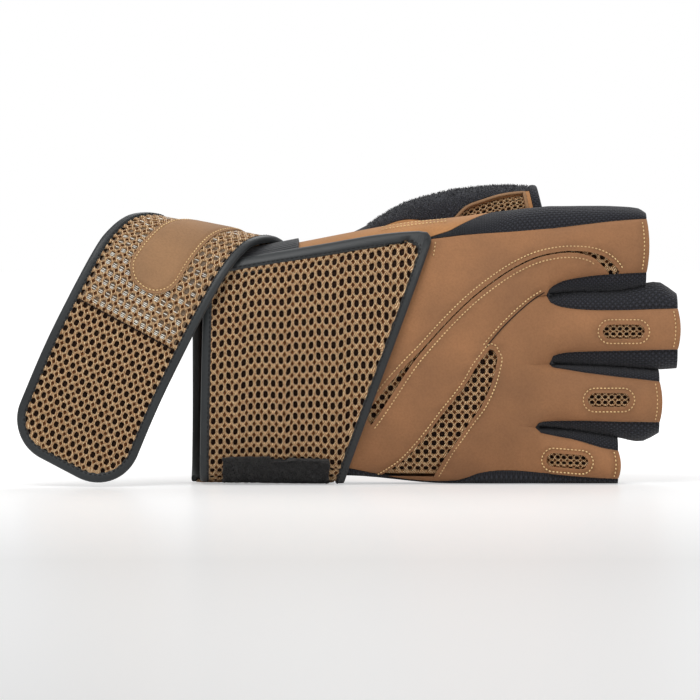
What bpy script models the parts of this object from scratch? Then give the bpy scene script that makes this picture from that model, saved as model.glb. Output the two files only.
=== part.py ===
"""A fingerless weightlifting glove with a long wrist strap, standing on its little finger edge.

The glove is sewn from panels, and each panel is a thin wall with a hollow behind it. +X points to
the fingertips, +Z from the little finger to the index finger, and -Y out of the back of the hand.
The tables hold shares of the named sizes. "along" is a share of HAND_LENGTH from the wrist's mouth,
"height" a share of KNUCKLE_WIDTH above the floor, and "depth" a share of a half depth.
"""
import bmesh
import bpy
import math
from mathutils import Vector

MM = 0.001

# Sizes of the hand, in metres
HAND_LENGTH = 170 * MM
KNUCKLE_WIDTH = 100 * MM
HAND_HALF_DEPTH = 20 * MM
FINGER_HALF_DEPTH = 12 * MM
HAND_ROUNDING = 2.3
REST_SHARE = 0.66

# Walls and clearances
LEATHER = 1.4 * MM
STRETCH_FABRIC = 1.1 * MM
TERRY = 2.0 * MM
KNIT = 1.8 * MM
INSERT_KNIT = 1.2 * MM
HOOK_PILE = 1.6 * MM
TAPE = 1.0 * MM
GAP = 0.35 * MM
SEAM_GAP = 1.05 * MM
WRAP_GAP = 0.72 * MM
BINDING = 3.4 * MM

# Openings in the back of the hand
VENT_LENGTH = 15 * MM
VENT_WIDTH = 5 * MM
VENT_END_SHARE = 0.12
INSERT_MARGIN = 2.6 * MM
CUT_FRONT = -40 * MM
CUT_BACK = -1.5 * MM

# Thumb
THUMB_HALF_DEPTH = 11.5 * MM
THUMB_HALF_HEIGHT = 12.5 * MM
THUMB_OFFSET = 22 * MM

# Strap and tab
STRAP_WIDTH = 46 * MM
STRAP_REACH = 67 * MM
STRAP_DEPTH = 25 * MM
TAB_WIDTH = 21 * MM
TAB_END_SHARE = 0.25
TAPE_MARGIN = 1.5 * MM

# Wrist flap
CUFF_LENGTH = 48 * MM
FLAP_CORNER = 5 * MM
FLAP_LEFT_SHARES = (-0.010, 0.004)
FLAP_EDGE_SHARES = (0.290, 0.219)
FLAP_DROP_SHARES = (0.022, 0.036)
FLAP_DROP_END_SHARE = 0.45
FLAP_SEAT_SPAN_SHARES = (0.30, 0.52)
CUFF_START_SHARE = -0.030
CUFF_DROP_SHARE = 0.075
CUFF_LOW_TURN = -0.965
PATCH_SPAN_SHARES = (0.045, 0.255)
PATCH_LOW_TURN = -0.52
PATCH_TOP_SHARE = 0.110
PATCH_FLOOR = 0.3 * MM
ELASTIC = 1.2 * MM
ELASTIC_TURNS = (-0.42, 0.40)

# The hand: folds and leather borders of its outline, and its half depth, from wrist to crotch
HAND_COLUMNS = ("along", "low_fold", "low_border", "top_border", "top_fold", "depth")
HAND_TABLE = (
    (0.000, 0.022, 0.110, 0.725, 0.800, 0.90),
    (0.106, 0.022, 0.110, 0.745, 0.818, 0.93),
    (0.212, 0.022, 0.100, 0.785, 0.850, 0.97),
    (0.318, 0.022, 0.080, 0.830, 0.900, 0.99),
    (0.424, 0.012, 0.055, 0.865, 0.932, 0.96),
    (0.534, 0.000, 0.040, 0.890, 0.957, 0.90),
    (0.636, -0.015, 0.042, 0.903, 0.980, 0.80),
    (0.727, -0.015, 0.040, 0.914, 0.996, 0.68),
)

# Each finger from crotch to mouth: folds and leather borders, and its half depth
FINGER_COLUMNS = ("along", "low_fold", "low_border", "top_border", "top_fold", "depth")
FINGER_TABLES = {
    "little": (
        (0.714, -0.015, 0.040, 0.198, 0.210, 1.04),
        (0.763, -0.010, 0.033, 0.153, 0.181, 1.00),
        (0.820, -0.008, 0.020, 0.137, 0.173, 0.97),
        (0.873, -0.006, 0.016, 0.119, 0.162, 0.90),
    ),
    "ring": (
        (0.720, 0.190, 0.202, 0.431, 0.443, 1.04),
        (0.784, 0.186, 0.225, 0.397, 0.417, 1.04),
        (0.869, 0.184, 0.223, 0.385, 0.415, 1.00),
        (0.960, 0.178, 0.221, 0.367, 0.409, 0.94),
    ),
    "middle": (
        (0.731, 0.423, 0.435, 0.671, 0.683, 1.04),
        (0.784, 0.425, 0.471, 0.631, 0.681, 1.08),
        (0.879, 0.423, 0.476, 0.623, 0.689, 1.04),
        (0.998, 0.421, 0.482, 0.629, 0.692, 0.98),
    ),
    "index": (
        (0.728, 0.663, 0.675, 0.914, 0.996, 1.04),
        (0.784, 0.690, 0.741, 0.926, 0.996, 1.04),
        (0.862, 0.701, 0.754, 0.942, 0.998, 1.00),
        (0.932, 0.709, 0.758, 0.950, 0.989, 0.94),
    ),
}
FINGERS = ("little", "ring", "middle", "index")
TIP_BOW_SHARE = 0.008
KNUCKLE_START_SHARE = 0.58
KNUCKLE_END_SHARE = 0.735
BORDER_DEPTH_SHARE = 0.70

# The seams between the fingers. Columns: height, along
CROTCH_TABLE = ((0.04, 0.727), (0.20, 0.701), (0.433, 0.733), (0.673, 0.729), (0.914, 0.727))
CROTCH_WEB_SHARE = 0.026

# Edges of the openings, seen from the back of the hand. Columns: along and height of the first
# edge, along and height of the second
SLIT_TABLE = (
    (0.372, 0.352, 0.345, 0.215),
    (0.415, 0.430, 0.395, 0.330),
    (0.452, 0.482, 0.438, 0.424),
    (0.490, 0.554, 0.480, 0.514),
    (0.538, 0.638, 0.530, 0.610),
    (0.582, 0.701, 0.576, 0.682),
    (0.628, 0.762, 0.624, 0.744),
    (0.680, 0.810, 0.680, 0.796),
    (0.732, 0.833, 0.736, 0.819),
    (0.790, 0.834, 0.786, 0.818),
    (0.839, 0.819, 0.826, 0.800),
    (0.878, 0.768, 0.852, 0.764),
)
WEDGE_TABLE = (
    (0.600, 0.478, 0.612, 0.474),
    (0.571, 0.429, 0.617, 0.437),
    (0.536, 0.354, 0.607, 0.376),
    (0.491, 0.248, 0.576, 0.263),
    (0.456, 0.165, 0.536, 0.149),
    (0.422, 0.102, 0.508, 0.080),
)
# Vents of the fingers: along, height and tilt in degrees
VENTS = {"middle": (0.883, 0.550, 0.0), "ring": (0.852, 0.302, 0.0), "little": (0.765, 0.083, 5.0)}

# The thumb's tube, from inside the hand to its mouth
THUMB_COLUMNS = ("along", "across", "height", "half_depth", "half_height", "seam_degrees")
THUMB_TABLE = (
    (0.245, 0.32, 0.740, 0.70, 0.85, 50),
    (0.340, 0.55, 0.800, 0.95, 1.00, 48),
    (0.420, 0.80, 0.860, 1.00, 1.05, 38),
    (0.515, 0.95, 0.905, 1.00, 1.03, 14),
    (0.600, 1.00, 0.925, 1.00, 1.00, 30),
    (0.716, 1.02, 0.930, 0.97, 0.98, 50),
)
TERRY_END_DEGREES = 205
THUMB_PATCH_SPAN_SHARES = (0.530, 0.695)
THUMB_PATCH_DEGREES = (-35, 5)
THUMB_PATCH_SEAM = 8
THUMB_PATCH_MARGIN = 1.2 * MM
THUMB_CUT_RISE = 3 * MM
THUMB_CUT_DEPTH = 7 * MM

# The end of the top leather and of the black strip over the fold, near the thumb's crotch
HAND_SEAM_START_SHARE = 0.470
HAND_SEAM_END_SHARE = 0.580
HAND_SEAM_TURN = -0.55
HAND_SEAM_GAP_SHARE = 0.189
GUSSET_END_SHARE = 0.528

# Lengths of the solids that cut the thumb out of the hand and the hand out of the thumb
HAND_CUT_SPAN_SHARES = (0.100, 0.725)
HAND_CUT_GROW = 0.45 * MM
THUMB_CUT_SPAN_SHARES = (0.239, 0.736)

# The strap's two edges, from the end sewn to the cuff, over the wrist, to the free end
STRAP_COLUMNS = ("left", "left_depth", "left_height", "right", "right_depth", "right_height")
STRAP_TABLE = (
    (-0.105, 1.06, 0.48, 0.575, 1.06, 0.46),
    (-0.125, 1.06, 0.62, 0.555, 1.06, 0.60),
    (-0.155, 0.96, 0.76, 0.510, 0.96, 0.72),
    (-0.195, 0.68, 0.88, 0.465, 0.70, 0.82),
    (-0.240, 0.32, 0.955, 0.420, 0.36, 0.872),
    (-0.300, -0.02, 0.974, 0.345, -0.06, 0.893),
    (-0.385, -0.28, 0.957, 0.215, -0.45, 0.862),
    (-0.490, -0.52, 0.908, 0.108, -0.78, 0.765),
    (-0.591, -0.72, 0.835, 0.011, -0.94, 0.619),
    (-0.735, -0.87, 0.667, -0.131, -0.99, 0.451),
    (-0.880, -0.95, 0.473, -0.276, -1.00, 0.257),
    (-1.124, -1.00, 0.165, -0.518, -1.00, -0.045),
)
STRAP_ROUND = (14 * MM, 17 * MM)
TAB_SPAN_SHARES = (0.22, 0.615)
TAPE_SPAN_SHARES = (0.48, 0.72)
ELASTIC_SPAN_SHARES = (0.035, 0.20)

# Fineness of the meshes
LANE_ROWS = 4
HAND_STEPS = 11
FINGER_STEPS = 5
ROUND_STEPS = 4
VENT_BACKING_STEPS = 5
END_FINENESS = 1.35
LITTLE_SIDE_GRID = (22, 7)
INDEX_SIDE_GRID = (14, 5)
GUSSET_GRID = (16, 5)
THUMB_GRID = (12, 7)
THUMB_PATCH_GRID = (8, 4)
THUMB_HEM_STEPS = 20
HAND_CUT_GRID = (16, 36)
THUMB_CUT_GRID = (16, 20)
FLAP_GRID = (11, 13)
CUFF_GRID = (6, 11)
HOOK_PATCH_GRID = (10, 3)
ELASTIC_GRID = (6, 4)
STRAP_GRID = (32, 5)
TAB_GRID = (14, 4)
TAPE_GRID = (10, 4)
EDGE_STEPS = 12
SHORT_EDGE_STEPS = 6
STRAP_EDGE_STEPS = 30
CORNER_SHARE = 0.03
FLAP_EDGE_FOOT_SHARE = 0.17
CUFF_EDGE_FOOT_SHARE = 0.86


def smooth_value(rows, column, at):
    """The value of a table's column at a place, on a smooth curve through the rows."""
    last = len(rows) - 1
    if at <= rows[0][0]:
        return rows[0][column]
    if at >= rows[last][0]:
        return rows[last][column]
    index = max(i for i in range(last) if rows[i][0] <= at)

    def slope(i):
        low, high = max(i - 1, 0), min(i + 1, last)
        return (rows[high][column] - rows[low][column]) / (rows[high][0] - rows[low][0])

    span = rows[index + 1][0] - rows[index][0]
    t = (at - rows[index][0]) / span
    start, end = rows[index][column], rows[index + 1][column]
    return ((2 * t ** 3 - 3 * t ** 2 + 1) * start + (t ** 3 - 2 * t ** 2 + t) * span * slope(index)
            + (3 * t ** 2 - 2 * t ** 3) * end + (t ** 3 - t ** 2) * span * slope(index + 1))


def mix(a, b, share):
    return a + (b - a) * share


def smoothstep(low, high, value):
    share = min(max((value - low) / (high - low), 0.0), 1.0)
    return share * share * (3 - 2 * share)


def hand(column, along):
    return smooth_value(HAND_TABLE, HAND_COLUMNS.index(column), along)


def finger(name, column, along):
    return smooth_value(FINGER_TABLES[name], FINGER_COLUMNS.index(column), along)


def crotch_along(height):
    return mix_rows(CROTCH_TABLE, height)


def mix_rows(rows, at):
    """Straight lines through the rows of a two-column table."""
    if at <= rows[0][0]:
        return rows[0][1]
    for (a, first), (b, second) in zip(rows, rows[1:]):
        if at <= b:
            return mix(first, second, (at - a) / (b - a))
    return rows[-1][1]


def lane_border(index, along):
    """Height of the seam line between two fingers, carried back over the hand."""
    low, top = hand("low_border", along), hand("top_border", along)
    if index == 0:
        return low
    if index == len(FINGERS):
        return top
    start_low, start_top = hand("low_border", 0), hand("top_border", 0)
    at_wrist = mix(start_low, start_top, index / len(FINGERS))
    height, end = CROTCH_TABLE[index]
    return mix(at_wrist, height, min(along / end, 1.0))


def oval(share, power=2.0):
    """Height of an oval above its middle line, 1 in the middle and 0 at a share of 1."""
    return max(1.0 - abs(share) ** power, 0.0) ** (1.0 / power)


def hand_depth(along, height):
    low, top = hand("low_fold", along), hand("top_fold", along)
    middle, half = (low + top) / 2, (top - low) / 2
    return HAND_HALF_DEPTH * hand("depth", along) * oval((height - middle) / half, HAND_ROUNDING)


def lane_limits(index, along):
    """Heights of the two leather borders of a finger's lane, over the hand or on the finger."""
    name = FINGERS[index]
    if along < FINGER_TABLES[name][0][0]:
        return lane_border(index, along), lane_border(index + 1, along)
    return finger(name, "low_border", along), finger(name, "top_border", along)


def finger_depth(name, along, height):
    """Half depth of a finger, rounded between its two borders."""
    low, top = lane_limits(FINGERS.index(name), along)
    share = min(max((height - low) / (top - low), 0.0), 1.0)
    rounding = mix(BORDER_DEPTH_SHARE, 1.0, oval(2 * share - 1))
    return FINGER_HALF_DEPTH * finger(name, "depth", along) * rounding


def lane_at(along, height):
    for index, name in enumerate(FINGERS[:-1]):
        if height < lane_border(index + 1, along):
            return name
    return FINGERS[-1]


def surface_depth(along, height, name=None):
    """Half depth of the leather at a point of the outline, hand and fingers blended."""
    lane = name or lane_at(along, height)
    share = smoothstep(KNUCKLE_START_SHARE, KNUCKLE_END_SHARE, along)
    whole = hand_depth(min(along, HAND_TABLE[-1][0]), height)
    return mix(whole, finger_depth(lane, along, height), share)


def spot(along, across, height):
    """The point at a share of the length, a depth in metres and a share of the width."""
    return Vector(((along - REST_SHARE) * HAND_LENGTH, across, height * KNUCKLE_WIDTH))


def on_floor(point, level=0.0):
    return Vector((point.x, point.y, max(point.z, level)))


def hand_level(along):
    """The lowest that the hand's own walls reach: on the flap at the wrist, on the floor beyond it."""
    return (WRAP_GAP + KNIT + GAP) * (1 - smoothstep(*FLAP_SEAT_SPAN_SHARES, along))


def fold_point(along, turn, border, fold, depth, side):
    """A point on the half round between a border and the fold, turn 0 at the border, 1 at the fold."""
    angle = turn * math.pi / 2
    height = mix(border, fold, math.sin(angle))
    return spot(along, side * depth * math.cos(angle), height)


def hand_point(along, turn, side):
    """A point on one side of the hand: turn -1 low fold, 0 to 1 the leather panel, 2 top fold."""
    low, top = hand("low_border", along), hand("top_border", along)
    if turn < 0:
        depth = surface_depth(along, low)
        return fold_point(along, -turn, low, hand("low_fold", along), depth, side)
    if turn > 1:
        depth = surface_depth(along, top)
        return fold_point(along, turn - 1, top, hand("top_fold", along), depth, side)
    height = mix(low, top, turn)
    return spot(along, side * surface_depth(along, height), height)


def moved_out(place, s, t, distance):
    """A point of a surface moved along the surface's normal."""
    step = 1e-3
    run = place(s + step, t) - place(s - step, t)
    rise = place(s, t + step) - place(s, t - step)
    return place(s, t) + run.cross(rise).normalized() * distance


def turn_at_height(along, height):
    """The turn of the hand's surface that lies at a height."""
    low, top = hand("low_border", along), hand("top_border", along)
    if height > top:
        rise = min((height - top) / (hand("top_fold", along) - top), 1.0)
        return 1 + math.asin(rise) * 2 / math.pi
    if height < low:
        fall = min((low - height) / (low - hand("low_fold", along)), 1.0)
        return -math.asin(fall) * 2 / math.pi
    return (height - low) / (top - low)


def sheet(columns, rows, place, mesh=None):
    """A grid whose vertex at the shares (s, t) is put at place(s, t)."""
    mesh = mesh or bmesh.new()
    made = bmesh.ops.create_grid(mesh, x_segments=columns, y_segments=rows, size=0.5)
    for vertex in made["verts"]:
        vertex.co = place(vertex.co.x + 0.5, vertex.co.y + 0.5)
    return mesh


def finish_material(name, colour, roughness, sheen=0.0):
    material = bpy.data.materials.new(name)
    material.use_nodes = True
    shader = material.node_tree.nodes["Principled BSDF"]
    shader.inputs["Base Color"].default_value = (*colour, 1.0)
    shader.inputs["Roughness"].default_value = roughness
    shader.inputs["Metallic"].default_value = 0.0
    shader.inputs["Sheen Weight"].default_value = sheen
    return material


def add_object(name, mesh, material, collection):
    """An object named after its piece, from an edit mesh, shaded smooth."""
    data = bpy.data.meshes.new(name)
    bmesh.ops.remove_doubles(mesh, verts=mesh.verts, dist=1e-7)
    mesh.to_mesh(data)
    mesh.free()
    piece = bpy.data.objects.new(name, data)
    collection.objects.link(piece)
    if material:
        data.materials.append(material)
    data.shade_smooth()
    return piece


def add_wall(piece, thickness):
    """Give a sheet its thickness, towards the hollow behind it."""
    solid = piece.modifiers.new("wall", "SOLIDIFY")
    solid.thickness = thickness
    solid.offset = -1.0
    solid.use_even_offset = False
    return piece


def cut(piece, cutter, name):
    boolean = piece.modifiers.new(name, "BOOLEAN")
    boolean.operation = "DIFFERENCE"
    boolean.solver = "EXACT"
    boolean.object = cutter
    return piece


def as_cutter(piece):
    piece.hide_render = True
    piece.display_type = "WIRE"
    return piece


# Leather panels of the hand


def eased(share):
    """A share whose steps are finer near both ends."""
    return (1 - math.cos(math.pi * share)) / 2


def lane_place(index, side):
    """Where the shares of one finger's lane lie on the leather, from the wrist to the fingertip."""
    name = FINGERS[index]
    rows = FINGER_TABLES[name]
    steps = HAND_STEPS + FINGER_STEPS

    def place(s, t):
        t = eased(1 - t if side > 0 else t)
        column = round(s * steps)
        if column <= HAND_STEPS:
            share = column / HAND_STEPS
            end = mix(crotch_along(CROTCH_TABLE[index][0]), crotch_along(CROTCH_TABLE[index + 1][0]), t)
            along = share * end
            height = mix(lane_border(index, along), lane_border(index + 1, along), t)
        else:
            share = (column - HAND_STEPS) / FINGER_STEPS
            start = mix(crotch_along(CROTCH_TABLE[index][0]), crotch_along(CROTCH_TABLE[index + 1][0]), t)
            end = rows[-1][0] + TIP_BOW_SHARE * (1 - (2 * t - 1) ** 2)
            along = mix(start, end, share)
            height = mix(finger(name, "low_border", along), finger(name, "top_border", along), t)
        return on_floor(spot(along, side * surface_depth(along, height, name), height))

    return place


def panel(name, side, material, collection):
    mesh = bmesh.new()
    for index in range(len(FINGERS)):
        sheet(HAND_STEPS + FINGER_STEPS, LANE_ROWS, lane_place(index, side), mesh)
    bmesh.ops.remove_doubles(mesh, verts=mesh.verts, dist=5e-5)
    return add_wall(add_object(name, mesh, material, collection), LEATHER)


def opening_point(row, share, margin):
    """A point across an opening: share 0 on its first edge and 1 on its second, grown by a margin."""
    first, second = Vector((row[0], row[1])), Vector((row[2], row[3]))
    size = Vector((HAND_LENGTH, KNUCKLE_WIDTH))
    across = Vector(((second.x - first.x) * size.x, (second.y - first.y) * size.y))
    extra = margin / max(across.length, 1e-5)
    return first.lerp(second, mix(-extra, 1 + extra, share))


def opening_rows(rows, margin):
    """The rows of an opening, with one more at each end when it is grown by a margin."""
    if not margin:
        return rows
    grown = list(rows)
    for position, (end, inner) in ((0, (rows[0], rows[1])), (len(grown) + 1, (rows[-1], rows[-2]))):
        run = Vector(((end[0] - inner[0]) * HAND_LENGTH, (end[1] - inner[1]) * KNUCKLE_WIDTH))
        share = margin / run.length
        grown.insert(position, tuple(e + (e - i) * share for e, i in zip(end, inner)))
    return tuple(grown)


def vent_row(name, x, rise):
    """The two edge points of a finger vent, at a distance along it from its middle."""
    along, height, tilt = VENTS[name]
    turn = math.radians(-tilt)
    row = []
    for z in (rise, -rise):
        row.append(along + (x * math.cos(turn) - z * math.sin(turn)) / HAND_LENGTH)
        row.append(height + (x * math.sin(turn) + z * math.cos(turn)) / KNUCKLE_WIDTH)
    return tuple(row)


def vent_rows(name):
    """The two long edges of a finger vent with round ends."""
    radius = VENT_WIDTH / 2
    straight = VENT_LENGTH / 2 - radius
    rows = []
    for step in range(2 * ROUND_STEPS + 2):
        half = step <= ROUND_STEPS
        angle = math.pi * (step if half else step - 1) / (2 * ROUND_STEPS)
        x = -math.cos(angle) * radius + (-straight if half else straight)
        rows.append(vent_row(name, x, max(math.sin(angle), VENT_END_SHARE) * radius))
    return tuple(rows)


def vent_backing_rows(name):
    """The two straight edges of the knitted piece behind a finger vent."""
    return tuple(vent_row(name, mix(-VENT_LENGTH / 2, VENT_LENGTH / 2, share), VENT_WIDTH / 2)
                 for share in shares(0.0, 1.0, VENT_BACKING_STEPS))


def opening_cutter(name, rows, collection):
    """A prism through the back panel alone, with the outline of the opening."""
    def place(s, t):
        row = rows[round(s * (len(rows) - 1))]
        point = opening_point(row, t, 0.0)
        return spot(point.x, CUT_FRONT, point.y)

    mesh = sheet(len(rows) - 1, 1, place)
    lid = bmesh.ops.extrude_face_region(mesh, geom=mesh.faces[:])
    moved = [item for item in lid["geom"] if isinstance(item, bmesh.types.BMVert)]
    bmesh.ops.translate(mesh, verts=moved, vec=(0, CUT_BACK - CUT_FRONT, 0))
    bmesh.ops.recalc_face_normals(mesh, faces=mesh.faces)
    return as_cutter(add_object(name, mesh, None, collection))


def insert(name, rows, lane, material, collection):
    """The knitted piece behind an opening, a margin wider and a gap behind the leather."""
    grown = opening_rows(rows, INSERT_MARGIN)

    def skin(s, t):
        position = min(max(s, 0.0), 1.0) * (len(grown) - 1)
        index = min(int(position), len(grown) - 2)
        first = opening_point(grown[index], t, INSERT_MARGIN)
        second = opening_point(grown[index + 1], t, INSERT_MARGIN)
        point = first.lerp(second, position - index)
        return spot(point.x, -surface_depth(point.x, point.y, lane), point.y)

    def place(s, t):
        point = skin(s, t)
        slope = surface_slope(point, lane)
        return point - slope * (LEATHER + WRAP_GAP)

    return add_wall(add_object(name, facing_near(sheet(len(grown) - 1, 2, place)), material, collection),
                    INSERT_KNIT)


def surface_slope(point, lane):
    """The outward normal of the back of the hand at a point of it."""
    along = point.x / HAND_LENGTH + REST_SHARE
    height = point.z / KNUCKLE_WIDTH
    step = 0.004
    run = (surface_depth(along + step, height, lane) - surface_depth(along - step, height, lane))
    rise = (surface_depth(along, height + step, lane) - surface_depth(along, height - step, lane))
    return Vector((-run / (2 * step * HAND_LENGTH), -1.0, -rise / (2 * step * KNUCKLE_WIDTH))).normalized()


def facing_near(mesh):
    """Turn the faces of a sheet towards the near side."""
    if sum(face.normal.y * face.calc_area() for face in updated_faces(mesh)) > 0:
        bmesh.ops.reverse_faces(mesh, faces=mesh.faces)
    return mesh


def updated_faces(mesh):
    mesh.normal_update()
    return mesh.faces


# Black fabric along the sides of the fingers


def outer_strip(name, grid, ends, edges, material, collection):
    """A strip along the outline of the hand and one finger, over its fold from side to side.

    edges gives the turns at which the strip begins and ends, from -1 near to 1 far.
    """
    low = name == "little_side"
    lane = "little" if low else "index"
    border_name, fold_name = ("low_border", "low_fold") if low else ("top_border", "top_fold")
    start, end = ends

    def place(s, t):
        along = mix(start, end, s)
        on_hand = along <= HAND_TABLE[-1][0]
        border = hand(border_name, along) if on_hand else finger(lane, border_name, along)
        fold = hand(fold_name, along) if on_hand else finger(lane, fold_name, along)
        gap = SEAM_GAP / KNUCKLE_WIDTH * (-1 if low else 1)
        first, last = edges(along)
        turn = mix(first, last, 1 - t if low else t) * math.pi / 2
        depth = surface_depth(along, border, lane)
        height = mix(border + gap, fold, math.cos(turn))
        return on_floor(spot(along, depth * math.sin(turn), height), hand_level(along))

    mesh = sheet(*grid, place)
    return add_wall(add_object(name, mesh, material, collection), STRETCH_FABRIC)


def whole_width(along):
    return (-1.0, 1.0)


def index_edges(along):
    """The black strip covers the near side first and the whole fold from the thumb's crotch on."""
    share = smoothstep(HAND_SEAM_START_SHARE, HAND_SEAM_END_SHARE, along)
    return (-1.0, mix(HAND_SEAM_TURN, 1.0, share))


def gusset_edges(along):
    """The leather above the wrist covers the fold and gives way to the black strip."""
    share = smoothstep(HAND_SEAM_START_SHARE, HAND_SEAM_END_SHARE, along)
    first = -1.0
    if along >= HAND_SEAM_START_SHARE:
        first = mix(HAND_SEAM_TURN, 1.0, share) + HAND_SEAM_GAP_SHARE
    return (first, 1.0)


def fourchette(index, material, collection):
    """The fabric between two fingers, a U from one fingertip round the crotch to the other."""
    lower, upper = FINGERS[index], FINGERS[index + 1]
    height, crotch = CROTCH_TABLE[index + 1]
    gap = SEAM_GAP / KNUCKLE_WIDTH
    web = crotch + SEAM_GAP / HAND_LENGTH

    def section(column):
        """Along, border, fold, fold's along and depth of the U's section at a column."""
        if column == 0:
            folds = [finger(name, fold, crotch + CROTCH_WEB_SHARE) for name, fold in
                     ((lower, "top_fold"), (upper, "low_fold"))]
            return web, height, sum(folds) / 2, crotch + CROTCH_WEB_SHARE, surface_depth(crotch, height, lower)
        name, side = (upper, 1) if column > 0 else (lower, -1)
        border_name, fold_name = ("low_border", "low_fold") if side > 0 else ("top_border", "top_fold")
        along = mix(crotch, FINGER_TABLES[name][-1][0], abs(column) / FINGER_STEPS)
        border = finger(name, border_name, along)
        depth = surface_depth(along, border, name)
        return along, border - side * gap, finger(name, fold_name, along), along, depth

    def place(s, t):
        along, border, fold, fold_along, depth = section(FINGER_STEPS - round(2 * FINGER_STEPS * s))
        turn = mix(-1.0, 1.0, t) * math.pi / 2
        share = math.cos(turn)
        return spot(mix(along, fold_along, share), depth * math.sin(turn), mix(border, fold, share))

    name = "fourchette_%s_%s" % (upper, lower)
    mesh = sheet(2 * FINGER_STEPS, LANE_ROWS + 1, place)
    return add_wall(add_object(name, mesh, material, collection), STRETCH_FABRIC)


# Thumb


def thumb_point(along, degrees, grow=0.0):
    """A point on the thumb's tube: 0 degrees near side, 90 top, 180 far side."""
    values = [smooth_value(THUMB_TABLE, column, along) for column in range(len(THUMB_COLUMNS))]
    angle = math.radians(degrees)
    half_depth = values[3] * THUMB_HALF_DEPTH + grow
    half_height = values[4] * THUMB_HALF_HEIGHT + grow
    middle = spot(along, values[1] * THUMB_OFFSET, values[2])
    return middle + Vector((0, -half_depth * math.cos(angle), half_height * math.sin(angle)))


def thumb_seam(along):
    return smooth_value(THUMB_TABLE, THUMB_COLUMNS.index("seam_degrees"), along)


def thumb_wall(name, wall, edges, material, collection):
    start, end = THUMB_TABLE[0][0], THUMB_TABLE[-1][0]

    def place(s, t):
        along = mix(start, end, s)
        first, last = edges(along)
        return thumb_point(along, mix(last, first, 1 - t))

    mesh = sheet(*THUMB_GRID, place)
    return add_wall(add_object(name, facing_out_of_thumb(mesh), material, collection), wall)


def facing_out_of_thumb(mesh):
    total = 0.0
    for face in updated_faces(mesh):
        middle = face.calc_center_median()
        along = middle.x / HAND_LENGTH + REST_SHARE
        axis = (thumb_point(along, 0) + thumb_point(along, 180)) / 2
        total += face.normal.dot(middle - axis)
    if total < 0:
        bmesh.ops.reverse_faces(mesh, faces=mesh.faces)
    return mesh


def terry_edges(along):
    gap = math.degrees(SEAM_GAP / THUMB_HALF_HEIGHT)
    return (thumb_seam(along) + gap, TERRY_END_DEGREES)


def thumb_leather_edges(along):
    gap = math.degrees(SEAM_GAP / THUMB_HALF_HEIGHT)
    return (TERRY_END_DEGREES - 360 + gap, thumb_seam(along))


def envelope(name, grid, place, collection):
    """A closed solid round a tube, used to cut what the tube passes through."""
    mesh = sheet(*grid, place)
    bmesh.ops.remove_doubles(mesh, verts=mesh.verts, dist=1e-5)
    bmesh.ops.holes_fill(mesh, edges=mesh.edges, sides=0)
    bmesh.ops.recalc_face_normals(mesh, faces=mesh.faces)
    return as_cutter(add_object(name, mesh, None, collection))


def hand_envelope(collection):
    def around(s, t):
        along = mix(*HAND_CUT_SPAN_SHARES, s)
        position = (t % 1.0) * 6
        if position <= 3:
            return hand_point(along, position - 1, -1)
        return hand_point(along, 5 - position, 1)

    def place(s, t):
        point = around(s, t)
        out = Vector((0, point.y, point.z - KNUCKLE_WIDTH / 2)).normalized()
        return point + out * HAND_CUT_GROW

    return envelope("hand_envelope", HAND_CUT_GRID, place, collection)


def thumb_envelope(collection):
    def place(s, t):
        return thumb_point(mix(*THUMB_CUT_SPAN_SHARES, s), 360 * (t % 1.0), SEAM_GAP)

    return envelope("thumb_envelope", THUMB_CUT_GRID, place, collection)


def thumb_patch_shape(material, collections):
    """The mesh patch of the thumb and the cutter of its opening."""
    parts, cutters = collections
    start, end = THUMB_PATCH_SPAN_SHARES

    def degrees(along, share):
        low = mix(*THUMB_PATCH_DEGREES, (along - start) / (end - start))
        return mix(low, thumb_seam(along) - THUMB_PATCH_SEAM, share)

    def place(grow, margin):
        def at(s, t):
            extra = margin / HAND_LENGTH
            along = mix(start - extra, end + extra, s)
            turn = math.degrees(margin / THUMB_HALF_HEIGHT)
            return thumb_point(along, mix(degrees(along, 0) - turn, degrees(along, 1) + turn, t), grow)
        return at

    inner = sheet(*THUMB_PATCH_GRID, place(-LEATHER - WRAP_GAP, THUMB_PATCH_MARGIN))
    patch = add_wall(add_object("thumb_patch", facing_out_of_thumb(inner), material, parts), INSERT_KNIT)
    outer = sheet(*THUMB_PATCH_GRID, place(THUMB_CUT_RISE, 0.0))
    lid = bmesh.ops.extrude_face_region(outer, geom=outer.faces[:])
    for vertex in [item for item in lid["geom"] if isinstance(item, bmesh.types.BMVert)]:
        along = vertex.co.x / HAND_LENGTH + REST_SHARE
        axis = (thumb_point(along, 0) + thumb_point(along, 180)) / 2
        vertex.co += (axis - vertex.co).normalized() * THUMB_CUT_DEPTH
    bmesh.ops.recalc_face_normals(outer, faces=outer.faces)
    return patch, as_cutter(add_object("thumb_opening", outer, None, cutters))


def bead(name, points, diameter, material, collection, closed=False):
    """A round bead along a line of points."""
    curve = bpy.data.curves.new(name, "CURVE")
    curve.dimensions = "3D"
    curve.bevel_depth = diameter / 2
    curve.bevel_resolution = 1
    curve.use_fill_caps = not closed
    curve.twist_mode = "MINIMUM"
    line = curve.splines.new("POLY")
    line.points.add(len(points) - 1)
    for knot, point in zip(line.points, points):
        knot.co = (*point, 1.0)
    line.use_cyclic_u = closed
    piece = bpy.data.objects.new(name, curve)
    curve.materials.append(material)
    collection.objects.link(piece)
    return piece


def thumb_binding(material, collection):
    """The hem round the thumb's mouth."""
    along = THUMB_TABLE[-1][0] + (BINDING / 2 + GAP) / HAND_LENGTH
    points = [thumb_point(along, 360 * step / THUMB_HEM_STEPS, -BINDING / 2)
              for step in range(THUMB_HEM_STEPS)]
    return bead("thumb_binding", points, BINDING, material, collection, closed=True)


# Wrist flap and cuff


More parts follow.
